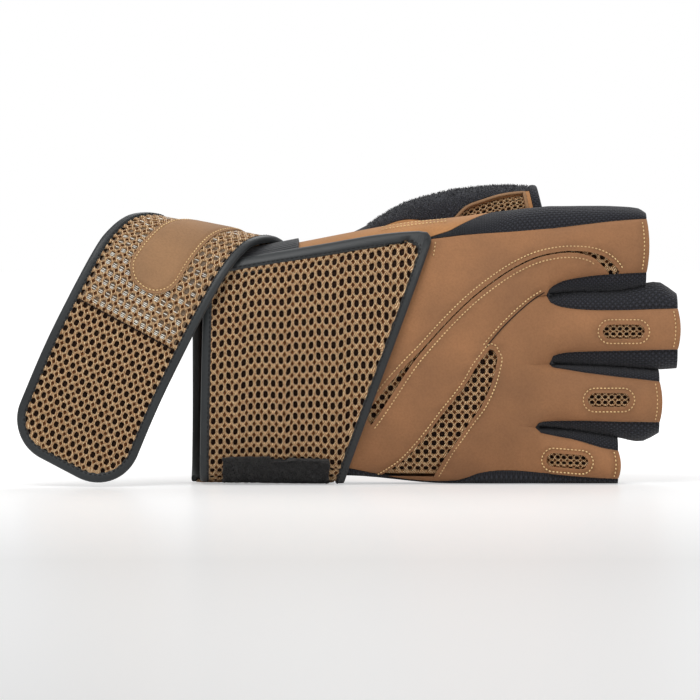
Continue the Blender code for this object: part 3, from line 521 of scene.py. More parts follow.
class Patch:
    """A surface sampled once on a fine grid, which gives its points and normals quickly."""

    def __init__(self, place: Place, columns: int, rows: int, flip: bool = False) -> None:
        """Sample the surface.

        Args:
            place: Gives the point at two shares.
            columns: The steps in the first share.
            rows: The steps in the second share.
            flip: Whether the normals are turned round.
        """
        self.columns, self.rows = columns, rows
        self.points = [[place(i / columns, j / rows) for j in range(rows + 1)] for i in range(columns + 1)]
        self.sign = -1.0 if flip else 1.0
        self.normals = [[self.measured_normal(i, j) for j in range(rows + 1)] for i in range(columns + 1)]

    def measured_normal(self, i: int, j: int) -> Vector:
        """Return the normal at a sample from its neighbours."""
        a, b = self.points[max(i - 1, 0)][j], self.points[min(i + 1, self.columns)][j]
        c, d = self.points[i][max(j - 1, 0)], self.points[i][min(j + 1, self.rows)]
        return (b - a).cross(d - c).normalized() * self.sign

    def blend(self, grid: list[list[Vector]], s: float, t: float) -> Vector:
        """Return a grid's value at two shares, straight between its samples."""
        x, y = s * self.columns, t * self.rows
        i = min(max(int(math.floor(x)), 0), self.columns - 1)
        j = min(max(int(math.floor(y)), 0), self.rows - 1)
        low = grid[i][j].lerp(grid[i + 1][j], x - i)
        return low.lerp(grid[i][j + 1].lerp(grid[i + 1][j + 1], x - i), y - j)

    def normal(self, s: float, t: float) -> Vector:
        """Return the direction out of the surface."""
        return self.blend(self.normals, s, t).normalized()

    def at(self, s: float, t: float, lift: float = 0.0) -> Vector:
        """Return the point at two shares, lifted out of the surface."""
        return self.blend(self.points, s, t) + self.normal(s, t) * lift


class Maker:
    """Turns grids and routes into meshes and objects."""

    @staticmethod
    def grid(columns: int, rows: int, place: Place, size: tuple[float, float],
             mesh: BMesh | None = None) -> BMesh:
        """Make a sheet from a flat grid.

        Args:
            columns: The faces along the first share.
            rows: The faces along the second share.
            place: Gives the point at two shares.
            size: The flat size, which the UV map holds in millimetres.
            mesh: An edit mesh to add to, or None.

        Returns:
            The edit mesh.
        """
        mesh = mesh or bmesh.new()
        uv = mesh.loops.layers.uv.verify()
        made = bmesh.ops.create_grid(mesh, x_segments=columns, y_segments=rows, size=0.5)
        for vertex in made["verts"]:
            s, t = vertex.co.x + 0.5, vertex.co.y + 0.5
            for loop in vertex.link_loops:
                loop[uv].uv = (s * size[0] / MM, t * size[1] / MM)
            vertex.co = place(s, t)
        return mesh

    @staticmethod
    def object(name: str, mesh: BMesh, finishes: Sequence[Material],
               merge: float = 1e-6) -> Object:
        """Make a smooth object from an edit mesh, which is freed.

        Args:
            name: The object's name.
            mesh: The edit mesh.
            finishes: The materials, by the faces' numbers.
            merge: The distance within which vertices are merged.

        Returns:
            The object.
        """
        bmesh.ops.remove_doubles(mesh, verts=mesh.verts, dist=merge)
        data = bpy.data.meshes.new(name)
        mesh.to_mesh(data)
        mesh.free()
        for finish in finishes:
            data.materials.append(finish)
        data.shade_smooth()
        item = bpy.data.objects.new(name, data)
        bpy.context.scene.collection.objects.link(item)
        return item

    @staticmethod
    def settle(item: Object, crease: float = 180.0) -> Object:
        """Make an object's modifiers part of its mesh.

        Args:
            item: The object.
            crease: The angle in degrees above which an edge stays sharp.

        Returns:
            The same object.
        """
        graph = bpy.context.evaluated_depsgraph_get()
        data = bpy.data.meshes.new_from_object(item.evaluated_get(graph), depsgraph=graph)
        item.modifiers.clear()
        item.data = data
        data.name = item.name
        if crease < 180.0:
            data.set_sharp_from_angle(angle=math.radians(crease))
        return item

    @staticmethod
    def wall(item: Object, thickness: float, bevel: float = 0.0) -> Object:
        """Give a sheet its thickness, towards the hollow behind it, and rounded edges.

        Args:
            item: The sheet.
            thickness: The thickness.
            bevel: The width of the rounding, or 0.

        Returns:
            The same object.
        """
        solid = item.modifiers.new("wall", "SOLIDIFY")
        solid.thickness = thickness
        solid.offset = -1.0
        solid.use_even_offset = False
        if bevel:
            rounding = item.modifiers.new("rounding", "BEVEL")
            rounding.width = bevel
            rounding.segments = 2
            rounding.limit_method = "ANGLE"
            rounding.angle_limit = math.radians(50)
            rounding.harden_normals = False
        return item

    @staticmethod
    def cut(item: Object, cutters: Sequence[Object]) -> Object:
        """Cut solids out of an object, in front of its rounding.

        Args:
            item: The object.
            cutters: The solids.

        Returns:
            The same object.
        """
        for number, cutter in enumerate(cutters):
            boolean = item.modifiers.new("cut", "BOOLEAN")
            boolean.operation = "DIFFERENCE"
            boolean.solver = "EXACT"
            boolean.object = cutter
            item.modifiers.move(len(item.modifiers) - 1, 1 + number)
        return item

    @staticmethod
    def lid(mesh: BMesh) -> list[BMVert]:
        """Return the points of a second sheet, joined to the first by walls, which are then moved away."""
        made = bmesh.ops.extrude_face_region(mesh, geom=mesh.faces[:])["geom"]
        return [part for part in made if isinstance(part, BMVert)]

    @staticmethod
    def tube(edge: Edge, steps: int, ring: int, half: tuple[float, float], length: float) -> BMesh:
        """Make a bound edge, a flattened tube with closed ends.

        Args:
            edge: Gives the point at a share of the edge, a distance in and a lift.
            steps: The faces along the edge.
            ring: The faces round the tube.
            half: Half the tube's width and half its height.
            length: The edge's length, for the UV map.

        Returns:
            The edit mesh.
        """
        def place(s: float, t: float) -> Vector:
            """Return the tube's point, with flattened faces and a round outer edge."""
            waves = math.cos(2 * math.pi * t), math.sin(2 * math.pi * t)
            across, lift = (math.copysign(abs(wave) ** 0.75, wave) for wave in waves)
            return edge(s, half[0] * (1 - across), half[1] * lift)

        mesh = Maker.grid(steps, ring, place, (length, 4 * sum(half)))
        bmesh.ops.remove_doubles(mesh, verts=mesh.verts, dist=1e-6)
        bmesh.ops.holes_fill(mesh, edges=[e for e in mesh.edges if e.is_boundary], sides=0)
        bmesh.ops.recalc_face_normals(mesh, faces=mesh.faces)
        return mesh


class Swarm:
    """Many small shapes, made in short batches and gathered in one mesh."""

    batch = 120

    def __init__(self) -> None:
        """Start with nothing in it."""
        self.whole, self.part, self.count = bmesh.new(), bmesh.new(), 0
        for mesh in (self.whole, self.part):
            mesh.loops.layers.uv.verify()

    def next(self) -> BMesh:
        """Return the short mesh into which the next shape goes."""
        self.count += 1
        if self.count % self.batch == 0:
            self.gather()
        return self.part

    def bead(self, place: Vector, axes: Sequence[Vector], rings: int) -> None:
        """Add a sphere stretched along three axes."""
        turn = Matrix(axes).transposed().to_4x4()
        turn.translation = place
        bmesh.ops.create_uvsphere(self.next(), u_segments=6, v_segments=rings, radius=1.0, matrix=turn)

    def hairs(self, places: Iterator[tuple[Vector, Vector]], chance: random.Random, lean: float,
              lengths: tuple[float, float], radius: float) -> None:
        """Plant short hairs of a pile.

        Args:
            places: Each root, with the direction out of the cloth.
            chance: The random numbers.
            lean: How far the hairs lean.
            lengths: The shortest and the longest hair in millimetres.
            radius: The radius of a root.
        """
        for root, out in places:
            way = (out + Vector([chance.uniform(-1, 1) for _ in range(3)]) * lean).normalized()
            way.z = max(way.z, (0.3 * MM - root.z) / MM)
            way = way.normalized()
            length = chance.uniform(*lengths) * MM
            turn = way.to_track_quat("Z", "X").to_matrix().to_4x4()
            turn.translation = root + way * length / 2
            bmesh.ops.create_cone(self.next(), cap_ends=False, segments=3, radius1=radius,
                                  radius2=radius * 0.25, depth=length, matrix=turn)

    def gather(self) -> BMesh:
        """Move the short mesh's shapes to the whole one.

        Returns:
            The whole mesh.
        """
        data = bpy.data.meshes.new("batch")
        self.part.to_mesh(data)
        self.whole.from_mesh(data)
        bpy.data.meshes.remove(data)
        self.part.clear()
        self.part.loops.layers.uv.verify()
        return self.whole


@dataclass(frozen=True)
class Stitching:
    """A sewn line of short thread stitches."""

    pitch: float = 1.30 * MM
    stitch: float = 0.92 * MM
    radius: float = 0.26 * MM
    jitter: float = 0.10

    def sew(self, thread: Swarm, route: Route) -> None:
        """Add a line of stitches.

        Args:
            thread: The stitches so far.
            route: Close points along the seam, each with the direction out.
        """
        walk = Walk([point for point, _ in route])
        count = max(int(walk.length / self.pitch), 1)
        chance = random.Random(len(route) + count)

        def at(length: float) -> tuple[Vector, Vector]:
            """Return the point and the outward direction at a length along the route."""
            index, share = walk.find(length)
            (first, out), (second, next_out) = route[index], route[index + 1]
            return first.lerp(second, share), out.lerp(next_out, share).normalized()

        for number in range(count):
            middle, half = (number + 0.5) * walk.length / count, self.stitch / 2
            start, end = at(max(middle - half, 0.0))[0], at(min(middle + half, walk.length))[0]
            point, out = at(middle)
            line = (end - start).normalized()
            across = out.cross(line).normalized()
            line = (line + across * chance.uniform(-self.jitter, self.jitter)).normalized()
            across = out.cross(line).normalized()
            axes = (line * half, across * self.radius, out * self.radius)
            thread.bead(point + out * self.radius * 0.35, axes, 5)


class Nodes:
    """Short calls to lay out one material or one node group."""

    def __init__(self, tree: NodeTree) -> None:
        """Keep the tree that the nodes go into."""
        self.tree = tree

    def add(self, kind: str, values: dict[str | int, object] | None = None, **settings: object) -> Node:
        """Add a node.

        Args:
            kind: Its type name, without ShaderNode.
            values: What each input holds: a value or a socket.
            settings: The node's own settings.

        Returns:
            The node.
        """
        node = self.tree.nodes.new("ShaderNode" + kind)
        for name, value in settings.items():
            setattr(node, name, value)
        for name, value in (values or {}).items():
            if isinstance(value, NodeSocket):
                self.link(value, node, name)
            else:
                node.inputs[name].default_value = value
        return node

    def link(self, value: NodeSocket, node: Node, name: str | int) -> None:
        """Feed a value into a node's input."""
        self.tree.links.new(value, node.inputs[name])

    def ramp(self, factor: NodeSocket, stops: Sequence[tuple[float, Colour]]) -> NodeSocket:
        """Add a colour ramp.

        Args:
            factor: The value that it reads.
            stops: The place and the colour of each stop.

        Returns:
            The colour.
        """
        node = self.add("ValToRGB", {"Fac": factor})
        while len(node.color_ramp.elements) < len(stops):
            node.color_ramp.elements.new(0.5)
        for element, (place, colour) in zip(node.color_ramp.elements, stops):
            element.position = place
            element.color = (*colour, 1.0)
        return node.outputs["Color"]

    def math(self, operation: str, first: object, second: object = 0.5) -> NodeSocket:
        """Return the value of a Math node."""
        return self.add("Math", {0: first, 1: second}, operation=operation).outputs[0]

    def ranged(self, value: NodeSocket, **ends: float) -> NodeSocket:
        """Return a value moved from one range to another, such as to_min=0.2."""
        given = {name.replace("_", " ").title(): end for name, end in ends.items()}
        return self.add("MapRange", {"Value": value, **given}).outputs["Result"]

    def turned(self, degrees: float) -> NodeSocket:
        """Return the UV map's place, turned by an angle."""
        place = self.add("UVMap").outputs["UV"]
        turn = (0, 0, math.radians(degrees))
        return self.add("Mapping", {"Vector": place, "Rotation": turn}).outputs["Vector"]

    def axes(self, place: NodeSocket | None = None) -> Sequence[NodeSocket]:
        """Return the separate axes of a place, or else of the UV map."""
        return self.add("SeparateXYZ", {"Vector": place or self.add("UVMap").outputs["UV"]}).outputs


class Effects:
    """The node groups that several materials share."""

    def __init__(self) -> None:
        """Build each group once."""
        self.mottle = self.group("mottle", {"Scale": 40.0}, ("Patches", "Specks"), self.build_mottle)
        self.weave = self.group("weave", {"Pitch": 0.8}, ("Height", "Gaps"), self.build_weave)
        # The seam group darkens leather near its seams: painted shade in the grooves, partly wear.
        self.seam = self.group("seam_shade_and_wear", {}, ("Near",), self.build_seam)

    @staticmethod
    def group(name: str, inputs: dict[str, float], outputs: Sequence[str],
              build: Callable[[Nodes, Node], Sequence[NodeSocket]]) -> NodeTree:
        """Make a node group.

        Args:
            name: The group's name.
            inputs: The name and the value of each input.
            outputs: The name of each output.
            build: Lays out the nodes and gives each output's value.

        Returns:
            The group.
        """
        tree = bpy.data.node_groups.new(name, "ShaderNodeTree")
        for label, value in inputs.items():
            socket = tree.interface.new_socket(label, in_out="INPUT", socket_type="NodeSocketFloat")
            socket.default_value = value
        for label in outputs:
            tree.interface.new_socket(label, in_out="OUTPUT", socket_type="NodeSocketFloat")
        given, put = tree.nodes.new("NodeGroupInput"), tree.nodes.new("NodeGroupOutput")
        for label, value in zip(outputs, build(Nodes(tree), given)):
            tree.links.new(value, put.inputs[label])
        return tree

    @staticmethod
    def build_mottle(nodes: Nodes, given: Node) -> Sequence[NodeSocket]:
        """Lay out soft patches and fine specks on Object coordinates.

        Args:
            nodes: The group's node calls.
            given: Its input node.

        Returns:
            The patches and the specks.
        """
        place, scale = nodes.add("TexCoord").outputs["Object"], given.outputs["Scale"]
        found = []
        for size, detail, rough in ((scale, 3.0, 0.55), (nodes.math("MULTIPLY", scale, 34.0), 2.0, 0.65)):
            spots = {"Vector": place, "Scale": size, "Detail": detail, "Roughness": rough}
            found.append(nodes.add("TexNoise", spots).outputs["Fac"])
        return found

    @staticmethod
    def build_weave(nodes: Nodes, given: Node) -> Sequence[NodeSocket]:
        """Lay out a fine square weave on the UV map, whose unit is a millimetre.

        Args:
            nodes: The group's node calls.
            given: Its input node.

        Returns:
            The weave's height and the gaps between its threads.
        """
        parts = nodes.axes(nodes.turned(45))
        turns = [nodes.math("DIVIDE", parts[axis], given.outputs["Pitch"]) for axis in ("X", "Y")]
        waves = [nodes.math("SINE", nodes.math("MULTIPLY", turn, 2 * math.pi)) for turn in turns]
        height = nodes.math("MULTIPLY_ADD", nodes.math("MULTIPLY", *waves), 0.5)
        return height, nodes.math("LESS_THAN", nodes.math("MAXIMUM", *waves), -0.45)

    @staticmethod
    def build_seam(nodes: Nodes, given: Node) -> Sequence[NodeSocket]:
        """Read how near a seam the surface is."""
        return (nodes.add("Attribute", attribute_name="seam_near").outputs["Fac"],)


@dataclass(frozen=True)
class Finish:
    """What every finish of the glove shares: its name and its plain shader values."""

    name: str
    colour: Colour
    roughness: float = 0.7
    sheen: float = 0.0
    sheen_colour: Colour = (1.0, 1.0, 1.0)
    specular: float = 0.5

    def make(self, effects: Effects) -> Material:
        """Return the material, made with the shared node groups."""
        look = Look(self, effects)
        self.dress(look)
        return look.material

    def dress(self, look: "Look") -> None:
        """Leave the plain shader as it is."""


class Look(Nodes):
    """The nodes of one material, round its shader."""

    def __init__(self, finish: Finish, effects: Effects | None = None) -> None:
        """Make the material with its plain shader.

        Args:
            finish: The finish whose values the shader holds.
            effects: The shared node groups.
        """
        self.material = bpy.data.materials.new(finish.name)
        self.material.use_nodes = True
        super().__init__(self.material.node_tree)
        self.colour, self.effects = finish.colour, effects
        self.shader = self.tree.nodes["Principled BSDF"]
        for name, value in (("Base Color", (*finish.colour, 1.0)), ("Roughness", finish.roughness),
                            ("Metallic", 0.0), ("Specular IOR Level", finish.specular),
                            ("Sheen Weight", finish.sheen), ("Sheen Roughness", 0.5),
                            ("Sheen Tint", (*finish.sheen_colour, 1.0))):
            self.shader.inputs[name].default_value = value

    def shade(self, share: float) -> Colour:
        """Return the colour, darker or lighter by a share."""
        return tuple(min(channel * share, 1.0) for channel in self.colour)

    def tones(self, factor: NodeSocket, *stops: tuple[float, float]) -> NodeSocket:
        """Return a ramp through shades of the colour, whose stops are places and shares."""
        return self.ramp(factor, [(place, self.shade(share)) for place, share in stops])

    def effect(self, tree: NodeTree, **inputs: float) -> Sequence[NodeSocket]:
        """Return the outputs of a shared effect."""
        return self.add("Group", inputs, node_tree=tree).outputs

    def mixed(self, factor: object, first: object, second: object, **settings: object) -> NodeSocket:
        """Return a mix of two colours."""
        values = {"Factor": factor, 6: first, 7: second}
        return self.add("Mix", values, data_type="RGBA", **settings).outputs[2]

    def paint(self, colour: NodeSocket, relief: NodeSocket, depth: float) -> None:
        """Give the shader its colour, and a relief of a depth in metres."""
        self.link(colour, self.shader, "Base Color")
        bump = self.add("Bump", {"Height": relief, "Distance": depth, "Strength": 1.0})
        self.link(bump.outputs["Normal"], self.shader, "Normal")


@dataclass(frozen=True)
class Suede(Finish):
    """Soft brushed leather with patches of nap, darker in its seams: painted shade in the seams' grooves,
    partly wear.
    """

    scale: float = 38.0

    def dress(self, look: Look) -> None:
        """Colour and roughen the leather.

        Args:
            look: The material's nodes.
        """
        mottle = look.effect(look.effects.mottle, Scale=self.scale)
        near = look.effect(look.effects.seam)["Near"]
        nap = look.tones(mottle["Patches"], (0.30, 0.84), (0.50, 1.0), (0.72, 1.20))
        specks = look.ramp(mottle["Specks"], ((0.30, (0.72,) * 3), (0.62, (1.12,) * 3)))
        speckled = look.mixed(0.32, nap, specks, blend_type="MULTIPLY")
        # Darker near the seams: painted shade in their grooves, partly wear.
        seam_shaded_and_worn = look.mixed(near, speckled, (*look.shade(0.60), 1.0))
        look.link(look.ranged(mottle["Patches"], to_min=0.68, to_max=0.9), look.shader, "Roughness")
        relief = look.math("ADD", mottle["Specks"], look.math("MULTIPLY", near, -3.0))
        look.paint(seam_shaded_and_worn, relief, 0.12 * MM)


@dataclass(frozen=True)
class Weave(Finish):
    """Stretch fabric with a fine square weave."""

    pitch: float = 1.25
    depth: float = 0.30 * MM

    def dress(self, look: Look) -> None:
        """Draw the weave on the UV map.

        Args:
            look: The material's nodes.
        """
        weave = look.effect(look.effects.weave, Pitch=self.pitch)
        colour = look.tones(weave["Height"], (0.0, 0.30), (0.5, 1.0), (1.0, 2.4))
        dark = look.mixed(weave["Gaps"], colour, (*look.shade(0.2), 1.0))
        look.paint(dark, weave["Height"], self.depth)


@dataclass(frozen=True)
class Pile(Finish):
    """Short dense pile: towelling or the hooks of a fastener."""

    scale: float = 60.0

    def dress(self, look: Look) -> None:
        """Roughen the pile with specks."""
        specks = look.effect(look.effects.mottle, Scale=self.scale)["Specks"]
        look.paint(look.tones(specks, (0.32, 0.35), (0.5, 1.0), (0.7, 2.4)), specks, 0.5 * MM)


@dataclass(frozen=True)
class Yarn(Finish):
    """Twisted knitting yarn, with a painted highlight on its bright fibres and painted shade in its dark
    valleys.
    """

    # The colour of the painted highlight on the twist's ridges.
    bright: Colour = (0.78, 0.60, 0.36)
    twist: float = 0.62

    def dress(self, look: Look) -> None:
        """Draw the yarn's twist on the UV map and its fibres on Object coordinates.

        Args:
            look: The material's nodes.
        """
        twist = look.add("TexWave", {"Vector": look.turned(32), "Scale": self.twist, "Distortion": 3.2,
                                     "Detail": 2.0, "Detail Scale": 1.6})
        mottle = look.effect(look.effects.mottle, Scale=46.0)
        both = look.add("Mix", {"Factor": 0.45, 2: twist.outputs["Fac"], 3: mottle["Specks"]}).outputs[0]
        # The colour follows the same relief as the bump: painted shade in the twist's valleys and painted
        # highlight on its ridges, over the fibres' own specks.
        colour = look.ramp(both, ((0.24, look.shade(0.36)), (0.45, look.shade(1.0)), (0.62, look.shade(1.35)),
                                  (0.80, self.bright)))
        look.paint(colour, both, 0.22 * MM)


@dataclass(frozen=True)
class Ribbed(Finish):
    """Satin tape or elastic with fine ribs across it."""

    pitch: float = 0.7
    depth: float = 0.05 * MM
    axis: str = "X"

    def dress(self, look: Look) -> None:
        """Draw the ribs on the UV map.

        Args:
            look: The material's nodes.
        """
        ribs = look.math("SINE", look.math("MULTIPLY", look.axes()[self.axis], 2 * math.pi / self.pitch))
        mottle = look.effect(look.effects.mottle, Scale=55.0)
        height = look.math("ADD", look.math("MULTIPLY_ADD", ribs, 0.3), mottle["Specks"])
        look.paint(look.tones(mottle["Patches"], (0.35, 0.8), (0.65, 1.25)), height, self.depth)


@dataclass(frozen=True)
class InnerKnit(Finish):
    """The hidden face of the knitted cloth, with the same rows of holes drawn on its UV map."""

    cell: tuple[float, float] = (2.7, 3.65)
    hole: float = 0.34

    def dress(self, look: Look) -> None:
        """Draw dark oval holes on the UV map.

        Args:
            look: The material's nodes.
        """
        parts, squares = look.axes(), []
        for axis, size in zip(("X", "Y"), self.cell):
            inside = look.math("FRACT", look.math("DIVIDE", parts[axis], size))
            share = look.math("DIVIDE", look.math("SUBTRACT", inside, 0.5), self.hole)
            squares.append(look.math("MULTIPLY", share, share))
        yarn = look.ranged(look.math("ADD", *squares), from_min=0.75, from_max=1.3)
        specks = look.effect(look.effects.mottle, Scale=46.0)["Specks"]
        fibre = look.tones(specks, (0.3, 0.5), (0.65, 1.6))
        look.paint(look.mixed(yarn, (*look.shade(0.07), 1.0), fibre), yarn, 0.5 * MM)


class Palette:
    """Every material of the glove, made once."""

    finishes = (
        Suede("leather", (0.345, 0.160, 0.068), sheen=0.12, sheen_colour=(1.0, 0.8, 0.6)),
        Suede("warm_leather", (0.45, 0.210, 0.078), sheen=0.12, sheen_colour=(1.0, 0.8, 0.6)),
        Suede("tab_leather", (0.325, 0.176, 0.083), sheen=0.12, sheen_colour=(1.0, 0.85, 0.7)),
        Weave("black_fabric", (0.0195, 0.0205, 0.0270), 0.80, 0.12, specular=0.35),
        Pile("terry", (0.0225, 0.0235, 0.0300), 0.95, 0.25, specular=0.2),
        Pile("terry_tuft", (0.0330, 0.0345, 0.0430), 0.9, 0.35, specular=0.2),
        Yarn("yarn", (0.440, 0.205, 0.070), 0.42, 0.15, bright=(1.0, 0.84, 0.52)),
        Pile("spacer", (0.020, 0.0095, 0.0060), 0.95, specular=0.2),
        Pile("knit_pit", (0.110, 0.040, 0.013), 0.95, specular=0.2),
        InnerKnit("inner_knit", (0.26, 0.150, 0.065), 0.65),
        Ribbed("binding", (0.020, 0.0235, 0.0255), 0.45, 0.10, pitch=0.45, depth=0.03 * MM),
        Pile("hook_pile", (0.0225, 0.0215, 0.0215), 0.7, 0.15, scale=80.0, specular=0.5),
        Ribbed("hook_tape", (0.17, 0.115, 0.070), 0.45, pitch=1.2, depth=0.2 * MM),
        Ribbed("filament", (0.86, 0.80, 0.72), 0.22, specular=0.8),
        Ribbed("elastic", (0.0120, 0.0135, 0.0170), 0.6, 0.10, pitch=1.1, depth=0.25 * MM, axis="Y"),
        Ribbed("cream_thread", (0.88, 0.58, 0.28), 0.5, pitch=0.4),
        # Near-black thread of the bindings' stitches, which also paint a shadow line along their inner edge.
        Ribbed("dark_thread_and_shadow_line", (0.004, 0.0045, 0.0055), 0.6, pitch=0.4),
        Pile("seam_shadow", (0.035, 0.018, 0.010), 0.95),
    )

    def __init__(self) -> None:
        """Make the shared effects and the materials."""
        effects = Effects()
        self.materials = {finish.name: finish.make(effects) for finish in self.finishes}

    def __getitem__(self, name: str) -> Material:
        """Return a material by its finish's name."""
        return self.materials[name]


class Bench:
    """Fits finished pieces to the frame and reports them."""

    def __init__(self, palette: Palette) -> None:
        """Keep the materials for the sub-assemblies."""
        self.palette = palette
        self.cutters: list[Object] = []

    def fit(self, item: Object, slot: str, *nodes: str) -> Object:
        """Join a piece to the frame.

        Args:
            item: The piece.
            slot: Not used.
            nodes: The CAD nodes that it stands for.

        Returns:
            The same piece.
        """
        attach(item, BODY)
        if nodes:
            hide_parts(*nodes)
        triangles = sum(len(face.vertices) - 2 for face in item.data.polygons)
        LOG.info("%s: %d triangles", item.name, triangles)
        return item

    def piece(self, name: str, mesh: BMesh, finish: str, slot: str, *nodes: str, merge: float = 1e-6,
              wall: float = 0.0, bevel: float = 0.3 * MM, cutters: Sequence[Object] = ()) -> Object:
        """Make a piece of one finish and fit it.

        Args:
            name: The piece's name.
            mesh: Its edit mesh.
            finish: The material's name.
            slot: The material slot's name, passed on to fit().
            nodes: The CAD nodes that it stands for.
            merge: The distance within which vertices are merged.
            wall: The thickness given to a sheet, or 0.
            bevel: The rounding of the wall's edges.
            cutters: The solids cut out of the wall.

        Returns:
            The piece.
        """
        item = Maker.object(name, mesh, (self.palette[finish],), merge)
        if wall:
            Maker.settle(Maker.cut(Maker.wall(item, wall, bevel), cutters), 50.0)
        return self.fit(item, slot, *nodes)

    def cutter(self, name: str, mesh: BMesh) -> Object:
        """Return a closed solid that only cuts others, removed again by clear()."""
        bmesh.ops.recalc_face_normals(mesh, faces=mesh.faces)
        self.cutters.append(Maker.object(name, mesh, ()))
        return self.cutters[-1]

    def envelope(self, name: str, grid: tuple[int, int], place: Place) -> Object:
        """Make a cutter from a tube with open ends.

        Args:
            name: The object's name.
            grid: The faces along it and round it.
            place: Gives its points.

        Returns:
            The cutter.
        """
        mesh = Maker.grid(*grid, place, (1.0, 1.0))
        bmesh.ops.remove_doubles(mesh, verts=mesh.verts, dist=1e-5)
        bmesh.ops.holes_fill(mesh, edges=mesh.edges, sides=0)
        return self.cutter(name, mesh)

    def clear(self) -> None:
        """Remove the solids that only cut others."""
        for item in self.cutters:
            bpy.data.objects.remove(item, do_unlink=True)
        self.cutters.clear()

    def threads(self, name: str, finish: str, slot: str, routes: Sequence[Route],
                stitching: Stitching) -> Object:
        """Sew several seams as one piece.

        Args:
            name: The piece's name.
            finish: The thread's finish.
            slot: The material slot's name, passed on to piece().
            routes: Each seam's points and directions out.
            stitching: The size of the stitches.

        Returns:
            The piece.
        """
        thread = Swarm()
        for route in routes:
            stitching.sew(thread, route)
        return self.piece(name, thread.gather(), finish, slot, merge=1e-7)

    def bind(self, names: tuple[str, str], edge: Edge, count: int, length: float, node: str) -> list[Object]:
        """Bind the edge of a cloth and sew the binding, with near-black stitches that also paint the shadow
        line along the binding's inner edge.

        Args:
            names: The names of the binding and of its stitches, which are also a painted shadow line.
            edge: Gives the binding's points.
            count: The faces along it.
            length: Its length.
            node: The CAD node that it stands for.

        Returns:
            The binding and its stitches.
        """
        mesh = Maker.tube(edge, count, 14, BINDING_HALF, length)
        bound = self.piece(names[0], mesh, "binding", "binding", node)
        seam = []
        for number in range(count + 1):
            low, high = (edge(number / count, BINDING * 0.80, lift) for lift in (0.0, 1.05 * MM))
            seam.append((high, (high - low).normalized()))
        # Near-black, nearly unbroken stitches: real stitching, and a painted shadow line along the binding's
        # inner edge.
        return [bound, self.threads(names[1], "dark_thread_and_shadow_line", "binding", [seam],
                                    Stitching(1.7 * MM, 1.5 * MM, 0.27 * MM))]


